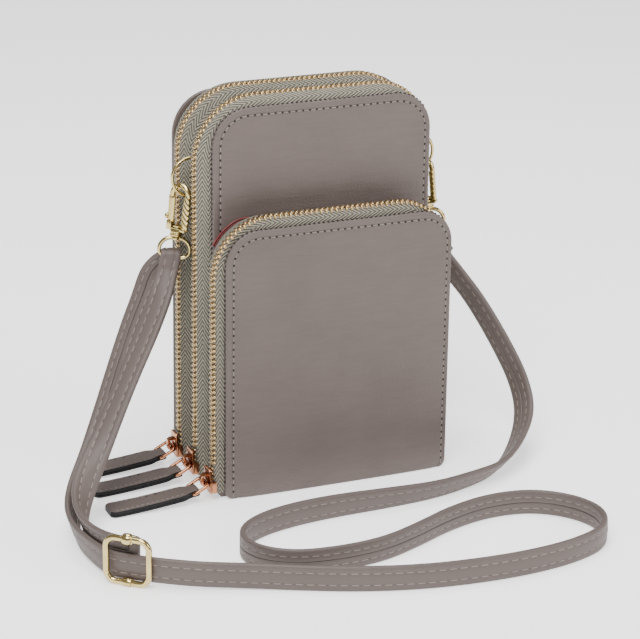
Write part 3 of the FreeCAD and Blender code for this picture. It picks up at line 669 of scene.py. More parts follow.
def outline(foot, shape, inset, corner_steps=10, top_steps=12):
    """Row of (x, z) from the left foot over the top to the right foot, inset from a panel's edge."""
    left, high = -shape.half + inset, shape.top - inset
    bend = max(shape.radius - inset, LEAST_RADIUS)
    near = [(left, foot + (high - bend - foot) * share) for share in LEG_SHARES]
    for k in range(corner_steps):
        angle = math.radians(180 - 90 * k / corner_steps)
        near.append((left + bend + bend * math.cos(angle), high - bend + bend * math.sin(angle)))
    flat = [((left + bend) * (1 - 2 * k / top_steps), high) for k in range(top_steps + 1)]
    ease = shape.tight * inset * max(0.0, 1 - inset / EASE_REACH)
    return [(x + ease * max(0.0, x / shape.half), z) for x, z in near + flat + flipped(near)]


def rounded(z, radius):
    """How far an edge that is rounded at its foot draws in at a height."""
    return radius - math.sqrt(radius ** 2 - (radius - z) ** 2) if z < radius else 0.0


def panel(face_y, way, crown, shape):
    """Leather turned over a board: hem and sewn groove up the sides and over the top, foot turned under."""
    rows = []
    for inset, level, swell in PANEL_PROFILE:
        tuck = max(0.0, 1 - inset / EASE_REACH)
        roll = FOOT_ROLL if level > -0.5 else 0.0
        row = []
        for x, z in outline(0.0, shape, inset):
            y = face_y + way * (level * LEATHER + swell * crown - rounded(z, roll))
            x -= math.copysign(rounded(z, FOOT_TUCK) * tuck, x)
            row.append((x + shape.shift, y, z))
        rows.append(row)
    made = loft(rows, around=False, start=False, end=False)
    count, last = len(rows[0]), len(rows) - 1
    made["faces"].append(list(range(count)))
    left = [r * count for r in range(last + 1)]
    right = [r * count + count - 1 for r in range(last, -1, -1)]
    made["faces"].append(left + right)
    base = last * count
    for k in range(count // 2 - 1):
        made["faces"].append([base + k, base + k + 1, base + count - 2 - k, base + count - 1 - k])
    if count % 2:
        middle = base + count // 2
        made["faces"].append([middle - 1, middle, middle + 1])
    return made


def seam(y, way, shape, inset):
    """Line of a panel's stitches, up the left, over the top and down the right."""
    row = [(x, z) for x, z in outline(0.0, shape, inset) if z > SEAM_FOOT + 1.0]
    row = [(row[0][0], SEAM_FOOT)] + row + [(row[-1][0], SEAM_FOOT)]
    points = [Vector((x + shape.shift, y, z)) for x, z in row]
    return points, [DEEP * way] * len(points)


class POUCH_OT_panels(bpy.types.Operator):
    """Leather panels with their hems and seams, and the bases"""

    bl_idname = "pouch.panels"
    bl_label = "Panels"

    def execute(self, context):
        size = sizes()
        pitch, inset = size.stitch_pitch, size.stitch_inset
        # dark is the painted shade of the needle holes and of the nicks along the edge seams
        leather, dark = finish("panel_leather"), finish("needle_hole_shade")
        thread = stitch_item(long=1.95, width=0.56, height=0.3)
        hole = hole_item(radius=0.48)
        nick = item_of(block((-0.26, -0.25, -0.5), (0.26, 0.25, 0.5), 0.1), "nick")
        for name, face_y, way, crown, shape in self.panels(size):
            body = name + "_cover"
            piece(name + "_leather", [panel(face_y, way, crown, shape)], [leather], body, [name + "_panel"])
            sewn = face_y - way * SEAM_DEPTH
            repeat(name + "_stitches", [seam(sewn, way, shape, inset)], thread, pitch, finish("panel_thread"),
                   body)
            mouths = seam(sewn + way * HOLE_RISE, way, shape, inset)
            repeat(name + "_needle_holes", [mouths], hole, pitch, dark, body, between=True)
            if name != "back":
                repeat(name + "_edge_seam", [self.edge_seam(face_y, way, shape)], nick, NICK_PITCH, dark,
                       body)
        drop(thread, hole, nick)
        for name, body in (("base_panel", "core"), ("pocket_base", "front_cover")):
            piece(name + "_leather", self.base(name), [leather], body, [name])
        return {"FINISHED"}

    def panels(self, size):
        """Name, face, the way that it looks, swell and shape of each panel."""
        wide = HALF_WIDTH + size.back_overhang
        return (
            ("back", BACK_FACE, 1, size.panel_crown * 0.8, PanelShape(PANEL_TOP + 0.2, 19.0, wide, 0.0, 0.0)),
            ("front", PANEL_FACE, -1, 0.3,
             PanelShape(PANEL_TOP + 0.4, PANEL_RADIUS, HALF_WIDTH - 0.8, 0.67, 0.4)),
            ("pocket", POCKET_FACE, -1, size.panel_crown,
             PanelShape(POCKET_TOP + 1.3, 15.0, HALF_WIDTH + 1.3, 1.7, 0.5)),
        )

    def edge_seam(self, face_y, way, shape):
        """Line where the tape is sewn in behind a panel's edge, on the left and over the top, marked with nicks in
        painted shade.
        """
        points, _ = seam(face_y - way * EDGE_SEAM_DEPTH, way, shape, -EDGE_SEAM_OUT)
        points = [p for p in points if p.x < shape.half - 2.0 and p.z > 5.0]
        return points, [DEEP * way] * len(points)

    def base(self, node):
        """Base with a wing of leather up each side."""
        inside, outside, gap, height = 3.4, 0.4, 1.4, 8.5
        low, high = box_of(node)
        wings = [side_block(side, HALF_WIDTH - inside, HALF_WIDTH + outside, (low.y + gap, 0.0),
                            (high.y - gap, height), 0.7) for side in (-1, 1)]
        return [block(low, high, 0.5)] + wings


# Inside

LINING_RADII = {"back": 10.5, "main": 10.5, "pocket": 11.0}
CARD_HEIGHTS = (98.0, 78.0, 58.0)
HEM_THICK, HEM_ROUND = 0.42, 0.5


def thin_sheet(node, radius, bevel=0.2):
    """Upright sheet in a solid's place, with round upper corners."""
    low, high = box_of(node)
    shape = PanelShape(high.z, radius, (high.x - low.x) / 2, 0.0, 0.0)
    rings = []
    for inset, share in ((bevel, 0.0), (0.0, 0.3), (0.0, 0.7), (bevel, 1.0)):
        y = low.y + (high.y - low.y) * share
        rings.append([(x, y, z) for x, z in outline(low.z + inset, shape, inset)])
    return loft(rings)


def hem(x, y, z, way, height, steps=8):
    """Folded upper edge of a cloth pocket."""
    section = [(0.0, -height), (HEM_THICK * way, -height)]
    for k in range(steps - 1, -1, -1):
        angle = math.pi * k / steps
        section.append((HEM_THICK * math.sin(angle) * way, HEM_ROUND * math.cos(angle)))
    return loft([[(end * x, y + away, z + rise) for away, rise in section] for end in (-1, 1)])


class POUCH_OT_inside(bpy.types.Operator):
    """Divider, linings, phone sleeve and card slots"""

    bl_idname = "pouch.inside"
    bl_label = "Inside"

    def execute(self, context):
        cloth = finish("lining_weave")
        divider = thin_sheet("centre_divider", ZIPS["main"].radius - VALLEY, 0.5)
        piece("divider_leather", [divider], [finish("panel_leather")], "core", ["centre_divider"])
        for name, body in (("back", "back_cover"), ("main", "front_cover"), ("pocket", "pocket_cover")):
            node = name + "_lining"
            sheet = thin_sheet(node, LINING_RADII[name])
            piece(node + "_cloth", [sheet], [cloth], body, [node])
        low, high = box_of("phone_sleeve")
        parts = [thin_sheet("phone_sleeve", 0.8), hem(high.x, low.y, high.z, -1, height=7.0)]
        piece("phone_sleeve_cloth", parts, [cloth], "core", ["phone_sleeve"])
        piece("card_slots_cloth", self.cards(), [cloth], "core", ["card_slots"])
        return {"FINISHED"}

    def cards(self):
        """Card slots one before the other, each lower than the last."""
        low, high = box_of("card_slots")
        step = (high.y - low.y) / len(CARD_HEIGHTS)
        parts = []
        for layer, tall in enumerate(CARD_HEIGHTS):
            near = low.y + step * layer
            parts.append(block((low.x, near, low.z), (high.x, near + step, low.z + tall), 0.15))
            parts.append(hem(high.x, near + step, low.z + tall, 1, height=5.0))
        return parts


# Zips

# Zip, half, side of the chain, body, reach of the tape from the chain and the level where it lands
ZIP_HALVES = (
    ("back", "inner", -1, "core", 9.4, -VALLEY),
    ("back", "outer", 1, "back_cover", 5.9, 0.0),
    ("main", "inner", 1, "core", 9.4, -VALLEY),
    ("main", "outer", -1, "front_cover", 5.9, 0.0),
    ("pocket", "inner", 1, "front_cover", 14.2, 0.0),
    ("pocket", "outer", -1, "pocket_cover", 2.4, 0.0),
)
TAPE_FOOT = 3.0
TAPE_THICK = 0.7
TAPE_FLAT, NARROW_TAPE_FLAT, NARROW_TAPE_REACH = 3.0, 1.7, 3.0
TAPE_DIP = 4.3
WEAVE_RIDGE = {"inner": 1.1, "outer": 2.0}
TOOTH_RIDGE = 4.85
TOOTH_HALF = 0.56
CHAIN_FOOT, CHAIN_SHY = 4.6, 3.7
# Rise, wire radius and number of the finish of the three cords of the edge behind the pocket. Finish 1, on the
# middle cord, is painted shade in the groove between the two red cords
EDGE_CORDS = ((1.3, 0.22, 0), (0.82, 0.24, 1), (0.34, 0.18, 0))
EDGE_START_DEGREES, EDGE_TURN_DEGREES, EDGE_STEPS = 152, 62, 24
EDGE_BEFORE, EDGE_SINK, EDGE_SINK_STEP = 0.55, 2.9, 11


def arch(zip_way, foot, out, straight=6.0, corner_steps=14):
    """Way of a zip at a distance out of the panel's edge: points, outward directions, lengths and the share
    of the rise that is left."""
    _, top, radius, press = zip_way
    across, high = HALF_WIDTH - radius, top - radius
    rows = []

    def run(start, end, way, share):
        steps = max(1, round((end - start).length / straight))
        rows.extend([(start.lerp(end, k / steps), way, share) for k in range(steps)])

    def bend(centre, start, last):
        for k in range(corner_steps):
            angle = math.radians(start - 90 * k / corner_steps)
            way = Vector((math.cos(angle), 0, math.sin(angle)))
            rows.append((centre + way * radius, way, 1.0 + (last - 1.0) * smooth(k / corner_steps)))

    run(Vector((-HALF_WIDTH, 0, foot)), Vector((-HALF_WIDTH, 0, high)), -ACROSS, 1.0)
    bend(Vector((-across, 0, high)), 180, 1.0)
    run(Vector((-across, 0, top)), Vector((across, 0, top)), UP, 1.0)
    bend(Vector((across, 0, high)), 90, press)
    run(Vector((HALF_WIDTH, 0, high)), Vector((HALF_WIDTH, 0, foot)), ACROSS, press)
    rows.append((Vector((HALF_WIDTH, 0, foot)), ACROSS, press))
    walked, found = 0.0, []
    for edge, way, share in rows:
        place = edge + way * (out * share)
        if found:
            walked += (place - found[-1][0]).length
        found.append((place, way, walked, share))
    return found


def eased(corners, steps=6):
    """Section with its corners eased, as a curve through the middles of its runs."""
    points = [Vector(c) for c in corners]
    found = [points[0]]
    for before, corner, after in zip(points, points[1:], points[2:]):
        start = before.lerp(corner, 0.6 if before is points[0] else 0.5)
        end = corner.lerp(after, 0.4 if after is points[-1] else 0.5)
        for k in range(steps + 1):
            t = k / steps
            found.append(start * (1 - t) ** 2 + corner * 2 * t * (1 - t) + end * t ** 2)
    found.append(points[-1])
    return found


def tape(zip_way, side, upper, ridge_at):
    """Tape along a zip's way. upper lists distances out and away from the chain; ridge_at is where the
    weave's two slants meet, measured across the tape."""
    lower = []
    for k, p in enumerate(upper):
        ahead = upper[min(k + 1, len(upper) - 1)] - upper[max(k - 1, 0)]
        normal = Vector((-ahead.y, ahead.x)).normalized()
        if normal.x > 0:
            normal = -normal
        lower.append(p + normal * TAPE_THICK)
    across = [0.0]
    for before, after in zip(upper, upper[1:]):
        across.append(across[-1] + (after - before).length)
    ring = upper + lower[::-1]
    widths = across + across[::-1]
    rings, uv = [], []
    for place, way, walked, share in arch(zip_way, TAPE_FOOT, 0.0):
        rises = [p.x * share if p.x > 0 else p.x for p in ring]
        rings.append([place + way * rise + DEEP * (zip_way.y + side * p.y) for rise, p in zip(rises, ring)])
        uv += [(walked, width - ridge_at) for width in widths]
    return loft(rings, uv=uv)


def tooth(side):
    """One tooth of a chain, from past the middle of the zip to the tape's cord, seen along the zip."""
    top = TOOTH_RIDGE - TAPE_RISE
    crown = [(0.4, 2.45), (-0.35, 2.6), (-top + 0.35, 2.2), (-top, 1.5), (-top, 0.2), (-top + 0.3, -0.55),
             (-0.3, -0.75), (0.4, -0.3)]
    seen = [(x, side * y, -TOOTH_HALF) for x, y in crown]
    return item_of(slab(seen, (0, 0, 2 * TOOTH_HALF), 0.3, segments=1), "tooth")


class POUCH_OT_zips(bpy.types.Operator):
    """Tapes, teeth and the coloured edge behind the pocket"""

    bl_idname = "pouch.zips"
    bl_label = "Zips"

    def execute(self, context):
        weave, metal = finish("tape_weave"), finish("teeth_metal")
        pitch = sizes().tooth_pitch
        first_closed = pitch * (math.ceil((SLIDER_TOP - CHAIN_SHY) / pitch) + 0.5)
        for name, half, side, body, reach, landing in ZIP_HALVES:
            zip_way = ZIPS[name]
            node = name + "_" + half
            flat = NARROW_TAPE_FLAT if reach < NARROW_TAPE_REACH else TAPE_FLAT
            corners = [(TAPE_RISE + 0.5, 0.3), (TAPE_RISE + 0.45, flat), (landing + 0.3, reach - 0.05),
                       (landing - TAPE_DIP, reach)]
            if node == "back_outer":
                corners.insert(2, (TAPE_RISE + 0.9, reach - 0.6))
            piece(node + "_weave", [tape(zip_way, side, eased(corners), flat + WEAVE_RIDGE[half])], [weave],
                  body, [node + "_tape"])
            item = tooth(side)
            start = CHAIN_FOOT + (first_closed if half == "outer" else 0.0)
            line = [row[0] + DEEP * zip_way.y for row in arch(zip_way, start, TAPE_RISE)]
            repeat(node + "_teeth", [(line, [DEEP] * len(line))], item, pitch, metal, body, [node + "_chain"])
            drop(item)
        # The pocket edge's middle cord is painted shade
        piece("pocket_edge", self.edge_cords(), [finish("trim_leather"), finish("seam_gap_shade")], "front_cover",
              ["pocket_piping"])
        return {"FINISHED"}

    def edge_cords(self):
        """Cords round the pocket's upper corners, which sink behind the tape along the top. The middle cord is
        painted shade between the red ones.
        """
        _, top, radius, _ = ZIPS["pocket"]
        centre = Vector((radius - HALF_WIDTH, PANEL_FACE - EDGE_BEFORE, top - radius))
        parts = []
        for lift, thick, number in EDGE_CORDS:
            line = []
            for k in range(EDGE_STEPS + 1):
                sink = EDGE_SINK * max(0.0, (k - EDGE_SINK_STEP) / (EDGE_STEPS - EDGE_SINK_STEP)) ** 2
                angle = EDGE_START_DEGREES - EDGE_TURN_DEGREES * k / EDGE_STEPS
                line += arc(centre, radius + lift - sink, angle, 0, 1)[:1]
            line += [Vector((-p.x, p.y, p.z)) for p in line[::-1]]
            parts.append(tube(line, thick, DEEP, sides=10, finish=number))
        return parts


# Sliders and pulls, in millimetres

PLATE_LOW, PLATE_HIGH = 5.5, 6.7
SLIDER_FOOT, SLIDER_WAIST = 4.0, 9.5
FLANGE_IN, FLANGE_OUT, FLANGE_SHY = 3.2, 4.6, 0.3
KEEL_HALF, KEEL_RISE = 0.25, 5.0
UNDER_HALF, UNDER_NEAR, UNDER_FAR = 1.6, 1.2, 2.3
BRIDGE_HALF, BRIDGE_RISE, BRIDGE_SUNK = 1.2, 3.2, 0.2
LINK_START = (-59.15, 8.65)
LINK_LEAN_DEGREES = 28.0
LINK_HALF, LINK_LENGTH, LINK_TURN, LINK_WIRE = 4.8, 7.6, 1.3, 0.72
PULL_LENGTH, PULL_LEVEL_SHARE = 41.0, 0.9957
PULL_FOLD, PULL_TIP = -62.66, 1.8
PULL_REST, PULL_RISE = 1.62, 3.55
PULL_HALF, PULL_WIDENING, PULL_TAPER_SHARE = 3.6, 0.5, 0.9
FLARE, FLARE_FROM, FLARE_OVER = 1.5, 3.6, 4.4
PULL_THICK, PULL_THINNING = 1.5, 0.1
PULL_STITCH_PITCH, PULL_HOLE_PITCH = 2.3, 4.2
# Shares of a pull's length at which its rings, its stitches and its holes lie
PULL_SHARES = [0.0, 0.006, 0.02] + [0.04 * k for k in range(1, 24)] + [0.94, 0.965, 0.985, 0.995, 1.0]
PULL_SEAM_SHARES = [0.2 + 0.74 * k / 27 for k in range(28)]
PULL_HOLE_SHARES = [0.44 + 0.058 * k for k in range(3)]
PINCH_SHARES = {0.0: 0.75, 0.006: 0.93, 0.995: 0.93, 1.0: 0.75}


class POUCH_OT_pulls(bpy.types.Operator):
    """Sliders, wire links and leather pulls"""

    bl_idname = "pouch.pulls"
    bl_label = "Sliders and pulls"

    def execute(self, context):
        rose = finish("rose_metal")
        leathers = [finish("panel_leather"), finish("edge_paint")]
        dot = stitch_item(long=1.3, width=0.42, height=0.2)
        hole = hole_item(radius=0.5)
        for name, zip_way in ZIPS.items():
            y = zip_way.y
            tab = name + "_tab"
            piece(name + "_slider_metal", self.slider(y), [rose], name + "_slider", [name + "_slider"])
            piece(name + "_link_wire", [self.link(y)], [rose], name + "_link", [name + "_link"])
            piece(name + "_pull", self.pull(y), leathers, tab, [tab], sharp_degrees=55)
            seams = [self.line(y, PULL_SEAM_SHARES, side, inset=1.35, lift=0.02) for side in (-1, 1)]
            repeat(name + "_pull_stitches", seams, dot, PULL_STITCH_PITCH, finish("strap_thread"), tab)
            holes = self.line(y, PULL_HOLE_SHARES, 1, inset=1.9, lift=0.14)
            # The pull's holes are drawn in painted shade
            repeat(name + "_pull_holes", [holes], hole, PULL_HOLE_PITCH, finish("needle_hole_shade"), tab)
        drop(dot, hole)
        return {"FINISHED"}

    def slider(self, y):
        """Shield plate with side flanges, keel, lower plate and the bridge that holds the link."""
        edge, low, high, waist = -HALF_WIDTH, SLIDER_FOOT, SLIDER_TOP, SLIDER_WAIST
        half = [(4.0, low), (4.6, low + 0.8), (4.6, waist - 0.6), (4.0, waist + 1.4), (3.7, high - 0.8),
                (2.9, high)]
        shield = flipped(half[:1]) + half + flipped(half[1:])
        plate = [(edge - PLATE_LOW, y + a, z) for a, z in shield]
        parts = [slab(plate, (PLATE_LOW - PLATE_HIGH, 0, 0), 0.4)]
        for side in (-1, 1):
            near, far = sorted((y + side * FLANGE_IN, y + side * FLANGE_OUT))
            inside = edge - TAPE_RISE - FLANGE_SHY
            parts.append(block((edge - PLATE_HIGH + 0.1, near, low + 0.1), (inside, far, waist), 0.35))
        inside = edge - UNDER_NEAR
        keel_top = low + KEEL_RISE
        parts.append(block((edge - PLATE_LOW, y - KEEL_HALF, low), (inside, y + KEEL_HALF, keel_top), 0.1))
        parts.append(block((edge - UNDER_FAR, y - UNDER_HALF, low), (inside, y + UNDER_HALF, high), 0.3))
        foot, top = PLATE_HIGH - BRIDGE_SUNK, PLATE_HIGH + BRIDGE_RISE
        outer = [(-3.0, foot), (-3.0, top - 1.4), (-2.2, top - 0.3), (-0.6, top)]
        inner = [(1.8, foot), (1.8, top - 1.5), (1.2, top - 1.2)]
        bridge = outer + flipped(outer) + inner + flipped(inner)
        seen = [(edge - out, y - BRIDGE_HALF, waist + rise) for rise, out in bridge]
        parts.append(slab(seen, (0, 2 * BRIDGE_HALF, 0), 0.25))
        return parts

    def link(self, y):
        """Wire loop between the slider's bridge and the pull's fold."""
        lean = math.radians(LINK_LEAN_DEGREES)
        along = Vector((-math.cos(lean), 0, -math.sin(lean)))
        line = round_frame((LINK_START[0], y, LINK_START[1]), (0, -LINK_HALF), (LINK_LENGTH, LINK_HALF),
                           LINK_TURN, 6, along, DEEP)
        return tube(line, LINK_WIRE, along.cross(DEEP), closed=True, sides=16, swell=square_wire)

    def station(self, y, share):
        """Middle, half width and half thickness of a pull, from its fold to its tip."""
        along = PULL_LENGTH * share
        middle = Vector((PULL_FOLD - along * PULL_LEVEL_SHARE, y, PULL_REST + PULL_RISE * (1 - share) ** 1.5))
        half = PULL_HALF + FLARE * smooth((along - FLARE_FROM) / FLARE_OVER) + PULL_WIDENING * share
        half -= PULL_TAPER_SHARE * max(0.0, along - PULL_LENGTH + PULL_TIP)
        return middle, half, PULL_THICK - PULL_THINNING * share

    def pull(self, y):
        """Two layers of leather with black painted edges."""
        top, bottom, edges = [], [], ([], [])
        for share in PULL_SHARES:
            middle, half, thick = self.station(y, share)
            thick *= PINCH_SHARES.get(share, 1.0)
            row = [(-half + 0.1, thick - 0.12)]
            for k in range(7):
                row.append((-half + 0.5 + (2 * half - 1.0) * k / 6, thick + 0.12 * math.sin(math.pi * k / 6)))
            row.append((half - 0.1, thick - 0.12))
            top.append([middle + Vector((0, a, t)) for a, t in row])
            bottom.append([middle + Vector((0, a, -t)) for a, t in row])
            rim = [(half - 0.1, thick - 0.12), (half, thick - 0.4), (half - 0.02, 0.25), (half - 0.22, 0.0),
                   (half - 0.02, -0.25), (half, -thick + 0.4), (half - 0.1, -thick + 0.12)]
            for side, edge in zip((-1, 1), edges):
                edge.append([middle + Vector((0, side * a, t)) for a, t in rim])
        parts = [loft(rows, False, False, False) for rows in (top, bottom)]
        parts += [loft(rows, False, False, False, finish=1) for rows in edges]
        for k in (0, -1):
            end = top[k] + edges[1][k][1:-1] + bottom[k][::-1] + edges[0][k][1:-1][::-1]
            parts.append(part(end, [list(range(len(end)))], 1))
        return parts

    def line(self, y, shares, side, inset, lift):
        """Line of stitches or holes on a pull's upper face, along one of its edges."""
        points = []
        for share in shares:
            middle, half, thick = self.station(y, share)
            points.append(middle + Vector((0, side * (half - inset), thick + lift)))
        return points, [UP] * len(points)


# Rings and hooks, in millimetres. A hook's parts are drawn about z, with its foot at 0

SIDES = {"left": -1, "right": 1}
HOOK_X, HOOK_LEVEL = 60.02, 110.87
HOOK_LEAN_DEGREES, CLAW_TURN_DEGREES, EYE_TURN_DEGREES = 7.0, 50.0, 21.0
RING_LOOP_EDGE, RING_LOOP_MIDDLE, RING_LOOP_LOW, RING_LOOP_HIGH = 42.5, 45.1, 134.5, 139.5
RING_LOOP_OUTER, RING_LOOP_INNER, RING_LOOP_HALF, RING_LOOP_GAP = 2.1, 1.3, 1.1, 0.35
RING_RADIUS, RING_WIRE, RING_LEVEL, RING_TURN_DEGREES = 8.4, 0.7, 137.0, 2.5
YOKE_LOW, YOKE_HIGH = (-4.7, -1.6, 2.5), (4.7, 1.6, 3.9)
BAR_FOOT, BAR_ROOT = Vector((3.3, 0, 3.2)), Vector((3.55, 0, 5.0))
BAR_RADIUS, BAR_TOP, BAR_BEND, BAR_END_LEVELS = 1.1, 18.5, 3.9, (18.0, 17.6)
INNER_WIRE_LOW, INNER_WIRE_HIGH, INNER_WIRE = Vector((2.35, 0, 4.4)), Vector((2.65, 0, 17.0)), 0.55
EAR_IN, EAR_OUT, PIN_RADIUS = 0.96, 1.66, 0.5
# Breadth of each hook's bar up to a row and of its bend, as shares of its thickness. It eases between them
BAR_BROAD_SHARES = {"left": 1.6, "right": 1.1}
BEND_BROAD_SHARE, BROAD_END_ROW, BROAD_EASE_ROWS = 1.12, 40, 22
ROPE_END_ROW, ROPE_DEPTH_SHARE, ROPE_STRANDS, ROPE_STEP = 84, 0.085, 3, 0.62
GATE_PIVOT, GATE_TIP = Vector((-3.4, 0, 5.4)), Vector((-3.9, 0, 17.3))
GATE_RADIUS, KNOB_PLACE = 0.95, (-3.8, 0, 8.0)

# Radii and heights of turned parts
COLLAR = [(1.25, 0.3), (2.5, 0.3), (2.85, 0.5), (2.9, 0.9), (2.5, 1.15), (2.45, 1.8), (2.85, 2.1), (2.9, 2.6),
          (2.6, 3.1), (2.6, 3.9), (1.25, 3.9)]
GATE_BARREL = [(0.56, -0.9), (1.1, -0.9), (1.2, -0.75), (1.2, 0.75), (1.1, 0.9), (0.56, 0.9)]
THUMB_KNOB = [(0.8, -0.2), (0.85, 0.7), (1.2, 0.9), (1.35, 1.3), (1.3, 1.9), (0.95, 2.35), (0.2, 2.5)]
EYE_STEM = [(1.5, -1.6), (1.7, -0.9), (1.4, 0.0), (1.15, 0.3), (1.15, 4.2), (1.9, 4.25), (1.9, 4.8),
            (1.2, 5.1)]


def hook_place(side, turn_degrees):
    """Matrix that stands a part drawn about z on a hook's axis."""
    lean = Matrix.Rotation(math.radians(-side * HOOK_LEAN_DEGREES), 4, "Y")
    turn = Matrix.Rotation(math.radians(-turn_degrees), 4, "Z")
    return Matrix.Translation((side * HOOK_X, 0, HOOK_LEVEL)) @ lean @ turn


class POUCH_OT_hooks(bpy.types.Operator):
    """Rings, their leather loops and the snap hooks"""

    bl_idname = "pouch.hooks"
    bl_label = "Rings and hooks"

    def execute(self, context):
        gold, leather = finish("gold_metal"), finish("panel_leather")
        for name, side in SIDES.items():
            piece(name + "_ring_wire", [self.ring(side)], [gold], name + "_ring", [name + "_ring"])
            piece(name + "_ring_loop", [self.loop(side)], [leather], "core", [name + "_ring_tab"])
            place = hook_place(side, CLAW_TURN_DEGREES)
            claw = [moved(p, place) for p in self.claw(BAR_BROAD_SHARES[name])]
            piece(name + "_claw", claw, [gold], name + "_claw", [name + "_hook_claw"])
            gate = [moved(p, place) for p in self.gate()]
            piece(name + "_gate", gate, [gold], name + "_gate", [name + "_hook_gate"])
            place = hook_place(side, EYE_TURN_DEGREES)
            eye = [moved(p, place) for p in self.eye()]
            piece(name + "_eye", eye, [gold], "core", [name + "_hook_eye"])
        return {"FINISHED"}

    def ring(self, side):
        """Ring that stands out of its loop, turned a little about it."""
        turn = Matrix.Rotation(math.radians(RING_TURN_DEGREES), 4, "Z")
        line = arc((side * RING_RADIUS, 0, RING_LEVEL), RING_RADIUS, 0, 360, 64)[:-1]
        wire = tube(line, RING_WIRE, DEEP, closed=True, sides=12)
        return moved(wire, Matrix.Translation((side * RING_LOOP_MIDDLE, 0, 0)) @ turn)

    def loop(self, side):
        """Leather loop round the ring's wire, with both its ends sewn in between the zips."""
        centre, edge = (RING_LOOP_MIDDLE, 0, 0), RING_LOOP_EDGE
        outer = arc(centre, RING_LOOP_OUTER, -120, 240, 14, along=DEEP)
        inner = arc(centre, RING_LOOP_INNER, 150, -300, 16, along=DEEP)
        rim = [(edge, -RING_LOOP_HALF)] + [p[:2] for p in outer] + [(edge, RING_LOOP_HALF)]
        rim += [(edge, RING_LOOP_GAP)] + [p[:2] for p in inner] + [(edge, -RING_LOOP_GAP)]
        return loft([[(side * x, y, z) for x, y in rim] for z in (RING_LOOP_LOW, RING_LOOP_HIGH)])

    def claw(self, broad):
        """Turned collar, yoke, ears with their pin, inner wire and the bar, which is twisted like rope."""
        high = Vector((BAR_BEND, 0, BAR_TOP))
        line = [BAR_FOOT.lerp(BAR_ROOT, k / 5) for k in range(5)]
        line += [BAR_ROOT.lerp(high, k / 60) for k in range(60)]
        line += arc((0, 0, BAR_TOP), BAR_BEND, 0, 180, 24)
        line += [Vector((-BAR_BEND, 0, level)) for level in BAR_END_LEVELS]

        def twist(row, angle):
            easing = min(max((row - BROAD_END_ROW) / BROAD_EASE_ROWS, 0.0), 1.0)
            wide = broad + (BEND_BROAD_SHARE - broad) * easing
            oval = (math.cos(angle) ** 2 / wide ** 2 + math.sin(angle) ** 2) ** -0.5
            if row > ROPE_END_ROW:
                return oval
            return oval * (1.0 + ROPE_DEPTH_SHARE * math.cos(ROPE_STRANDS * angle - row * ROPE_STEP))

        parts = [lathe(COLLAR), block(YOKE_LOW, YOKE_HIGH, 0.5)]
        parts.append(tube(line, BAR_RADIUS, DEEP, sides=18, swell=twist))
        inner = [INNER_WIRE_LOW.lerp(INNER_WIRE_HIGH, k / 10) for k in range(11)]
        parts.append(tube(inner, INNER_WIRE, DEEP, sides=10))
        for end in (-1, 1):
            near, far = sorted((end * EAR_IN, end * EAR_OUT))
            parts.append(block((-4.6, near, 2.6), (-2.2, far, 6.6), 0.3))
        pin = [GATE_PIVOT + DEEP * (end * EAR_OUT) for end in (-1, 1)]
        parts.append(tube(pin, PIN_RADIUS, UP, sides=10))
        return parts

    def gate(self):
        """Sprung bar with its barrel and thumb knob."""
        turn = Matrix.Translation(GATE_PIVOT) @ Matrix.Rotation(math.radians(90), 4, "X")
        line = [GATE_PIVOT.lerp(GATE_TIP, 0.07 + 0.93 * k / 8) for k in range(9)]
        lay = Matrix.Translation(KNOB_PLACE) @ Matrix.Rotation(math.radians(-90), 4, "Y")
        return [moved(lathe(GATE_BARREL), turn), tube(line, GATE_RADIUS, DEEP, sides=18, swell=flat_wire),
                moved(lathe(THUMB_KNOB), lay)]

    def eye(self):
        """Loop for the strap, wide at its shoulders, on a stem that turns in the collar."""
        half, top, foot, shoulder, toe = 6.7, -0.9, -9.4, 5.4, 3.2
        line = arc((shoulder - half, 0, top - shoulder), shoulder, 90, 90, 10)
        line += arc((toe - half, 0, foot + toe), toe, 180, 90, 8)
        line += arc((half - toe, 0, foot + toe), toe, 270, 90, 8)
        line += arc((half - shoulder, 0, top - shoulder), shoulder, 0, 90, 10)
        return [tube(line, 0.9, DEEP, closed=True, sides=14), lathe(EYE_STEM)]


# Strap

# Right eye's place in millimetres. Near it, and near the left eye, the strap is gathered to a share of its
# width
EYE_PLACE = Vector((61.0, 0, 103.5))
NARROW_SHARE, NARROW_FROM, NARROW_OVER = 0.8, 5.0, 18.0
STRAP_SEAM_LEVEL = 1.1
SECTION_THICK = 2.6  # Thickness for which the strap's section is drawn
# Section of the thin line of painted shade where the strap's edges meet on the reverse
SHADE_LINE_SECTION = ((-0.14, -1.0), (0.14, -1.0), (0.0, -0.85))
STANDING = (0.0, 0.0, 1.0)  # Direction across a strap that stands on its edge

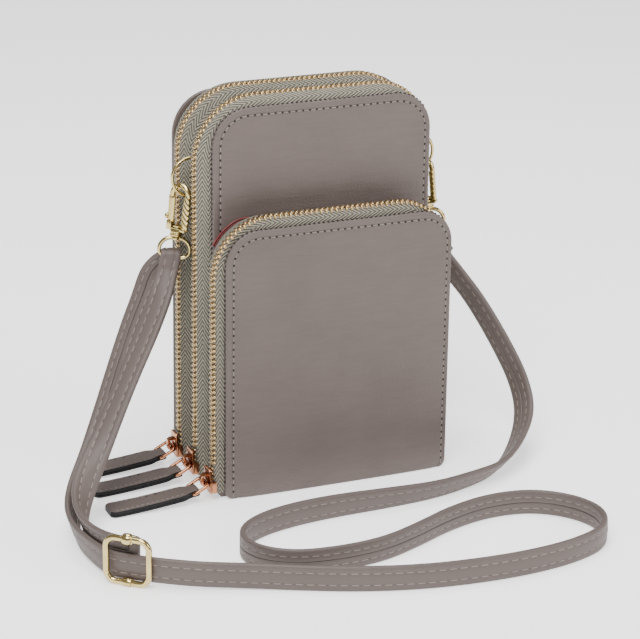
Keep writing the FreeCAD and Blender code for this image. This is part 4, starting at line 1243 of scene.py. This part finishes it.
# Places on the strap's middle line in metres, then the direction across the strap where it doesn't stand on
# its edge
LONG_ROUTE = [
    (0.0692, 0.0001, 0.0874, 0.82, -0.55, 0.03),
    (0.0678, 0.0006, 0.0890, 0.84, -0.52, 0.02),
    (0.06275, 0.0024, 0.0962, 0.92, -0.38, 0.00),
    (0.06207, 0.00238, 0.10165, 0.93, -0.36, 0.00),
    (0.06177, 0.00238, 0.10418, 0.93, -0.36, 0.00),
    (0.05995, -0.00238, 0.10396, 0.93, -0.36, 0.00),
    (0.06026, -0.00238, 0.10143, 0.93, -0.36, 0.00),
    (0.0609, -0.0024, 0.0962, 0.92, -0.38, 0.00),
    (0.065, -0.0034, 0.0882, 0.80, -0.58, 0.02),
    (0.0726, -0.0046, 0.0792, 0.64, -0.75, 0.08),
    (0.0824, -0.0062, 0.0663, 0.52, -0.83, 0.18),
    (0.093, -0.0108, 0.047, 0.47, -0.81, 0.32),
    (0.1006, -0.018, 0.0286, 0.45, -0.78, 0.44),
    (0.099, -0.029, 0.0166, 0.42, -0.80, 0.42),
    (0.0858, -0.046, 0.0096, 0.10, -0.86, 0.50),
    (0.0708, -0.0588, 0.0053, 0.14, -0.66, 0.74),
    (0.0544, -0.0646, 0.0049, 0.08, -0.52, 0.85),
    (0.0345, -0.0698, 0.0049, 0.00, -0.46, 0.88),
    (0.011, -0.0709, 0.0053, 0.00, -0.28, 0.96),
    (-0.014, -0.0708, 0.0056, 0.00, -0.10, 1.00),
    (-0.0350, -0.0728, 0.0056),
    (-0.0520, -0.0780, 0.0056),
    (-0.0631, -0.087, 0.0056),
    (-0.0659, -0.0985, 0.0056),
    (-0.0610, -0.1096, 0.0056),
    (-0.0490, -0.1176, 0.0056),
    (-0.0300, -0.1196, 0.0056),
    (-0.0112, -0.1178, 0.0056),
    (0.0076, -0.11, 0.0056),
    (0.0266, -0.1003, 0.0056),
    (0.0472, -0.0944, 0.0056),
    (0.0675, -0.0960, 0.0056),
    (0.0820, -0.1080, 0.0056),
    (0.0875, -0.1245, 0.0056),
    (0.0800, -0.1400, 0.0056),
    (0.0620, -0.1478, 0.0056),
    (0.0390, -0.1512, 0.0056),
    (0.0145, -0.1506, 0.0056),
    (-0.0090, -0.1474, 0.0056),
    (-0.0325, -0.1404, 0.0056),
    (-0.0545, -0.1306, 0.0056),
    (-0.0745, -0.1214, 0.006),
    (-0.091, -0.1156, 0.0067),
    (-0.1045, -0.1093, 0.0077),
    (-0.1156, -0.0993, 0.007),
    (-0.1224, -0.09261, 0.007),
    (-0.1258, -0.08, 0.0076, -0.10, 0.00, 1.00),
    (-0.1274, -0.064, 0.0078, -0.26, 0.04, 0.96),
    (-0.1248, -0.0495, 0.0099, -0.46, 0.14, 0.87),
    (-0.1182, -0.037, 0.0148, -0.60, 0.34, 0.72),
    (-0.1086, -0.0266, 0.0246, -0.58, 0.64, 0.50),
    (-0.0998, -0.0172, 0.0384, -0.50, 0.80, 0.30),
    (-0.0914, -0.0088, 0.053, -0.46, 0.86, 0.18),
    (-0.0806, 0.001, 0.0714, -0.52, 0.83, 0.10),
    (-0.073, 0.0052, 0.084, -0.66, 0.74, 0.08),
    (-0.0698, 0.0068, 0.0918, -0.80, 0.60, 0.05),
    (-0.0668, 0.006, 0.0964, -0.88, 0.47, 0.02),
    (-0.0638, 0.0042, 0.0996, -0.92, 0.38, 0.00),
    (-0.06146, 0.00285, 0.10142, -0.93, 0.36, 0.00),
]
END_ROUTE = [
    (-0.06146, 0.00285, 0.10142, -0.93, 0.36, 0.00),
    (-0.06115, 0.00285, 0.10396, -0.93, 0.36, 0.00),
    (-0.06297, -0.00191, 0.10418, -0.93, 0.36, 0.00),
    (-0.06327, -0.00191, 0.10164, -0.93, 0.36, 0.00),
    (-0.0646, -0.0021, 0.0962, -0.88, 0.47, 0.02),
    (-0.0684, -0.006, 0.09, -0.74, 0.67, 0.06),
    (-0.0724, -0.0094, 0.0826, -0.58, 0.81, 0.06),
    (-0.078, -0.013, 0.073, -0.50, 0.86, 0.08),
    (-0.0876, -0.019, 0.0594, -0.47, 0.87, 0.09),
    (-0.0966, -0.025, 0.046, -0.47, 0.87, 0.14),
    (-0.105, -0.031, 0.0336, -0.52, 0.80, 0.30),
    (-0.1134, -0.0384, 0.0234, -0.60, 0.56, 0.56),
    (-0.1202, -0.048, 0.016, -0.54, 0.28, 0.78),
    (-0.124, -0.0604, 0.0124, -0.36, 0.10, 0.92),
    (-0.1244, -0.075, 0.0118, -0.16, 0.00, 0.99),
    (-0.1206, -0.0892, 0.0126),
    (-0.1149, -0.0945, 0.0126),
]


def spline_points(places, resolution=8):
    """Points of the smooth line that a list of places steers."""
    data = bpy.data.curves.new("route", "CURVE")
    data.dimensions = "3D"
    data.resolution_u = resolution
    spline = data.splines.new("NURBS")
    spline.points.add(len(places) - 1)
    for point, place in zip(spline.points, places):
        point.co = (*place, 1.0)
    spline.order_u = 3
    spline.use_endpoint_u = True
    holder = bpy.data.objects.new("route", data)
    mesh = bpy.data.meshes.new_from_object(holder)
    found = [v.co.copy() for v in mesh.vertices]
    bpy.data.objects.remove(holder)
    bpy.data.curves.remove(data)
    bpy.data.meshes.remove(mesh)
    return found


def strap_frames(route):
    """Places along the strap in millimetres, with the direction across it, shorter where the eyes gather it,
    and the way that its face looks."""
    middle = spline_points([row[:3] for row in route])
    rail = spline_points([[p + w * MM for p, w in zip(row, row[3:] or STANDING)] for row in route])
    frames = []
    for k, place in enumerate(middle):
        heading = (middle[min(k + 1, len(middle) - 1)] - middle[max(k - 1, 0)]).normalized()
        across = rail[k] - place
        across = (across - heading * across.dot(heading)).normalized()
        eye = Vector((math.copysign(EYE_PLACE.x, place.x), EYE_PLACE.y, EYE_PLACE.z))
        apart = smooth(((place / MM - eye).length - NARROW_FROM) / NARROW_OVER)
        width = NARROW_SHARE + (1 - NARROW_SHARE) * apart
        frames.append((place / MM, across * width, -heading.cross(across)))
    return frames


def strap_section():
    """Points round the strap: distances across it and towards its face, from the face to the reverse."""
    size = sizes()
    half, row = size.strap_width / 2, size.strap_seam
    scale = size.strap_thickness / SECTION_THICK
    face = [(-half, 0.35), (-half + 0.18, 0.8), (-half + 0.6, 1.1), (-half + 1.5, 1.26), (-row - 0.5, 1.28),
            (-row, 1.08), (-row + 0.5, 1.3), (-1.0, 1.42)]
    back = [(half, -0.35), (half - 0.18, -0.8), (half - 0.6, -1.1), (half - 1.5, -1.24), (row + 0.45, -1.24),
            (row, -1.08), (row - 0.45, -1.26), (0.55, -1.3), (0.2, -1.2)]
    ring = face + [(0.0, 1.45)] + flipped(face) + back + [(0.0, -0.8)] + flipped(back)
    return [(a, t * scale) for a, t in ring]


def along_strap(frames, section):
    """Skin of a section drawn along the strap."""
    return loft([[p + across * a + face * t for a, t in section] for p, across, face in frames])


def strap_seams(frames, first, last):
    """Lines of stitches on both faces of the strap, less some places at its ends."""
    row = sizes().strap_seam
    walk = frames[first:len(frames) - last]
    lines = []
    for way in (1, -1):
        for side in (-1, 1):
            points = [p + across * (row * side) + face * (STRAP_SEAM_LEVEL * way) for p, across, face in walk]
            lines.append((points, [face * way for _, _, face in walk]))
    return lines


class POUCH_OT_strap(bpy.types.Operator):
    """Long strap and the end that is folded back to the buckle, each with its turn over an eye"""

    bl_idname = "pouch.strap"
    bl_label = "Strap"

    def execute(self, context):
        pitch = sizes().strap_stitch_pitch
        thread = stitch_item(long=pitch * 0.6, width=0.38, height=0.2)
        hole = hole_item(radius=0.42)
        frames = strap_frames(LONG_ROUTE)
        nodes = ["strap_floor_run", "strap_right_drop", "strap_right_tail", "strap_right_turn",
                 "strap_outer_ply"]
        strap, sewn = self.sewn_strap("strap_long", frames, "core", nodes, thread, hole, bare=3)
        self.declare(strap, frames, sewn, (0.0612, 0.0, 0.1015), "object")
        frames = strap_frames(END_ROUTE)
        nodes = ["strap_end_ply", "strap_left_turn"]
        strap, sewn = self.sewn_strap("strap_end", frames, None, nodes, thread, hole, bare=24)
        for one in [strap] + sewn:
            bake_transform(one, "core", "buckle", start=(-0.1104, -0.0384, 0.0234), end=(-0.1206, -0.0892, 0.0126))
        self.declare(strap, frames, sewn + ["buckle_wire"], (-0.0612, 0.0, 0.1015), "fitting")
        drop(thread, hole)
        return {"FINISHED"}

    def sewn_strap(self, name, frames, body, nodes, thread, hole, bare):
        """Strap with its stitches, and with its needle holes and the line where its edges meet on the reverse in
        painted shade.
        bare counts the places without stitches at its start."""
        pitch = sizes().strap_stitch_pitch
        # The strap's holes and the line where its edges meet are drawn in painted shade
        gap = finish("seam_gap_shade")
        strap = piece(name, [along_strap(frames, strap_section())], [finish("strap_leather")], body, nodes,
                      sharp_degrees=60)
        lines = strap_seams(frames, first=bare, last=3)
        stitches = repeat(name + "_stitches", lines, thread, pitch, finish("strap_thread"), body)
        holes = repeat(name + "_holes", lines, hole, pitch, gap, body, between=True)
        line = along_strap(frames, SHADE_LINE_SECTION)
        return strap, [stitches, holes, piece(name + "_seam", [line], [gap], body)]

    def declare(self, strap, frames, with_pieces, leaves, far_end):
        """Does nothing."""


# Buckle, in millimetres, drawn about z with the strap's heading along x

BUCKLE_PLACE = Matrix.Translation((-115.6, -99.3, 0)) @ Matrix.Rotation(math.radians(138.0), 4, "Z")
BUCKLE_FRONT, BUCKLE_BACK = 3.0, -4.05
BUCKLE_HALF, BUCKLE_LOW, BUCKLE_HIGH, BUCKLE_TURN, BUCKLE_WIRE = 9.4, 1.4, 20.6, 4.2, 1.24
POST_LOW, POST_HIGH, POST_TURN, POST_RADIUS = 0.75, 19.4, 1.8, 0.7
CRIMP_LEVEL = 1.55
SEWN_LOOP_FOOT, SEWN_LOOP_TOP, SEWN_LOOP_OUTER, SEWN_LOOP_INNER = 7.1, 18.1, 2.45, 1.15
POST_CUFF = [(1.3, -2.1), (1.9, -2.0), (2.3, -1.55), (2.5, -0.8), (2.55, 0.0), (2.5, 0.8), (2.3, 1.55),
             (1.9, 2.0), (1.3, 2.1)]
POST_CRIMP = [(1.45, -1.7), (1.75, -1.7), (1.9, -1.4), (1.9, 1.4), (1.75, 1.7), (1.45, 1.7)]


class POUCH_OT_buckle(bpy.types.Operator):
    """Slide buckle and the strap's sewn loop on its bar"""

    bl_idname = "pouch.buckle"
    bl_label = "Buckle"

    def execute(self, context):
        gold = finish("gold_metal")
        for name, parts, material, node, slot in (
                ("buckle_wire", [self.frame()], gold, "buckle_frame", "hardware_gold"),
                ("buckle_post", self.post(), gold, "buckle_bar", "hardware_gold"),
                ("buckle_loop", [self.loop()], finish("strap_leather"), "strap_end_loop", "leather")):
            piece(name, [moved(p, BUCKLE_PLACE) for p in parts], [material], "buckle", [node])
        return {"FINISHED"}

    def frame(self):
        """Wire frame with round corners."""
        line = round_frame((0, BUCKLE_FRONT, 0), (-BUCKLE_HALF, BUCKLE_LOW), (BUCKLE_HALF, BUCKLE_HIGH),
                           BUCKLE_TURN, 8, first=2)
        return tube(line, BUCKLE_WIRE, DEEP, closed=True, sides=24, swell=square_wire)

    def post(self):
        """Bar bent back from the frame, held by a cuff above and a crimp below."""
        inside, bend_y = BUCKLE_FRONT - 0.6, BUCKLE_BACK + POST_TURN
        line = [Vector((0, inside, POST_LOW))]
        line += arc((0, bend_y, POST_LOW + POST_TURN), POST_TURN, 270, -90, 6, DEEP)
        line += arc((0, bend_y, POST_HIGH - POST_TURN), POST_TURN, 180, -90, 6, DEEP)
        line.append(Vector((0, inside, POST_HIGH)))
        parts = [tube(line, POST_RADIUS, ACROSS, sides=14)]
        for profile, level in ((POST_CUFF, BUCKLE_HIGH), (POST_CRIMP, CRIMP_LEVEL)):
            lay = Matrix.Translation((0, BUCKLE_FRONT, level)) @ Matrix.Rotation(math.radians(90), 4, "Y")
            parts.append(moved(lathe(profile), lay))
        return parts

    def loop(self, rounding=0.3):
        """Strap's end folded round the bar."""
        levels = (SEWN_LOOP_FOOT, SEWN_LOOP_FOOT + rounding, SEWN_LOOP_TOP - rounding, SEWN_LOOP_TOP)
        outer, inner = [], []
        for z, rim in zip(levels, (1, 0, 0, 1)):
            outer.append(arc((0, BUCKLE_BACK, z), SEWN_LOOP_OUTER - 0.25 * rim, 0, 360, 28, along=DEEP)[:-1])
            inner.append(arc((0, BUCKLE_BACK, z), SEWN_LOOP_INNER + 0.15 * rim, 0, 360, 28, along=DEEP)[:-1])
        return loft(outer + inner[::-1] + [outer[0]], start=False, end=False)


# Stage

FLOOR_HALF = 4.0
FLOOR_SETTINGS = {
    "Base Color": (0.9, 0.9, 0.9, 1.0), "Roughness": 0.9, "Emission Color": (1.0, 1.0, 1.0, 1.0),
    "Emission Strength": 0.9, "Specular IOR Level": 0.1,
}
WORLD_STRENGTH = 0.36
AIM = Vector((0, -0.03, 0.08))
# Place in metres, power in watts and width in metres
LIGHTS = {
    "key": ((-0.55, -0.75, 1.25), 26.0, 0.8),
    "fill": ((0.95, -0.85, 0.75), 10.0, 0.7),
    "top": ((0.05, 0.25, 1.35), 14.0, 0.7),
}
CAMERA_PLACE = Vector((-0.4042, -0.9701, 0.4469))
CAMERA_TURN, CAMERA_RISE, CAMERA_ROLL = (math.radians(a) for a in (23.03, 19.98, -0.803))
CAMERA_LENS, CAMERA_SENSOR = 140.6, 36.0


class POUCH_OT_stage(bpy.types.Operator):
    """Pale floor, soft lights and the camera"""

    bl_idname = "pouch.stage"
    bl_label = "Stage"

    def execute(self, context):
        self.floor()
        world = bpy.data.worlds.new("studio")
        world.use_nodes = True
        sky = world.node_tree.nodes["Background"].inputs
        sky["Color"].default_value = (1.0, 1.0, 1.0, 1.0)
        sky["Strength"].default_value = WORLD_STRENGTH
        bpy.context.scene.world = world
        for name, settings in LIGHTS.items():
            self.light(name, *settings)
        self.camera()
        return {"FINISHED"}

    def floor(self):
        """Wide floor."""
        corners = [(a * FLOOR_HALF, b * FLOOR_HALF, 0) for a, b in ((-1, -1), (1, -1), (1, 1), (-1, 1))]
        mesh = bpy.data.meshes.new("floor")
        mesh.from_pydata(corners, [], [(0, 1, 2, 3)])
        pale = bpy.data.materials.new("pale_floor")
        pale.use_nodes = True
        for key, value in FLOOR_SETTINGS.items():
            pale.node_tree.nodes["Principled BSDF"].inputs[key].default_value = value
        mesh.materials.append(pale)
        show("floor", mesh)

    def light(self, name, place, power, width):
        """Square light that looks at the pouch."""
        data = bpy.data.lights.new(name, "AREA")
        data.shape = "SQUARE"
        data.size = width
        data.energy = power
        lamp = show(name, data)
        lamp.location = place
        lamp.rotation_mode = "QUATERNION"
        lamp.rotation_quaternion = (AIM - Vector(place)).to_track_quat("-Z", "Y")

    def camera(self):
        """Camera with the photograph's view of the pouch."""
        data = bpy.data.cameras.new("camera")
        data.sensor_width = CAMERA_SENSOR
        data.lens = CAMERA_LENS
        data.clip_start, data.clip_end = 0.05, 20.0
        level = math.cos(CAMERA_RISE)
        back = Vector((-math.sin(CAMERA_TURN) * level, -math.cos(CAMERA_TURN) * level, math.sin(CAMERA_RISE)))
        right = Vector((math.cos(CAMERA_TURN), -math.sin(CAMERA_TURN), 0))
        over = back.cross(right)
        first = right * math.cos(CAMERA_ROLL) - over * math.sin(CAMERA_ROLL)
        second = right * math.sin(CAMERA_ROLL) + over * math.cos(CAMERA_ROLL)
        made = show("camera", data)
        facing = Matrix((first, second, back)).transposed().to_4x4()
        made.matrix_world = Matrix.Translation(CAMERA_PLACE) @ facing
        bpy.context.scene.camera = made


OPERATORS = (
    POUCH_OT_panels, POUCH_OT_inside, POUCH_OT_zips, POUCH_OT_pulls, POUCH_OT_hooks, POUCH_OT_buckle,
    POUCH_OT_strap, POUCH_OT_stage,
)


class POUCH_PT_sidebar(bpy.types.Panel):
    """Pieces, sizes and colours of the pouch"""

    bl_idname = "POUCH_PT_sidebar"
    bl_label = "Phone pouch"
    bl_space_type = "VIEW_3D"
    bl_region_type = "UI"
    bl_category = "Pouch"

    def draw(self, context):
        for group in (context.scene.pouch_sizes, context.scene.pouch_colours):
            column = self.layout.column(align=True)
            for name in group.bl_rna.properties.keys():
                if name not in ("rna_type", "name"):
                    column.prop(group, name)
        for operator in OPERATORS:
            self.layout.operator(operator.bl_idname)


CLASSES = (PouchColours, PouchSizes, *OPERATORS, POUCH_PT_sidebar)


def register():
    for one in CLASSES:
        bpy.utils.register_class(one)
    bpy.types.Scene.pouch_colours = bpy.props.PointerProperty(type=PouchColours)
    bpy.types.Scene.pouch_sizes = bpy.props.PointerProperty(type=PouchSizes)


def unregister():
    del bpy.types.Scene.pouch_sizes
    del bpy.types.Scene.pouch_colours
    for one in reversed(CLASSES):
        bpy.utils.unregister_class(one)


def main():
    """Make every piece and the stage."""
    register()
    for operator in OPERATORS:
        group, name = operator.bl_idname.split(".")
        getattr(getattr(bpy.ops, group), name)()


if __name__ == "__main__":
    main()
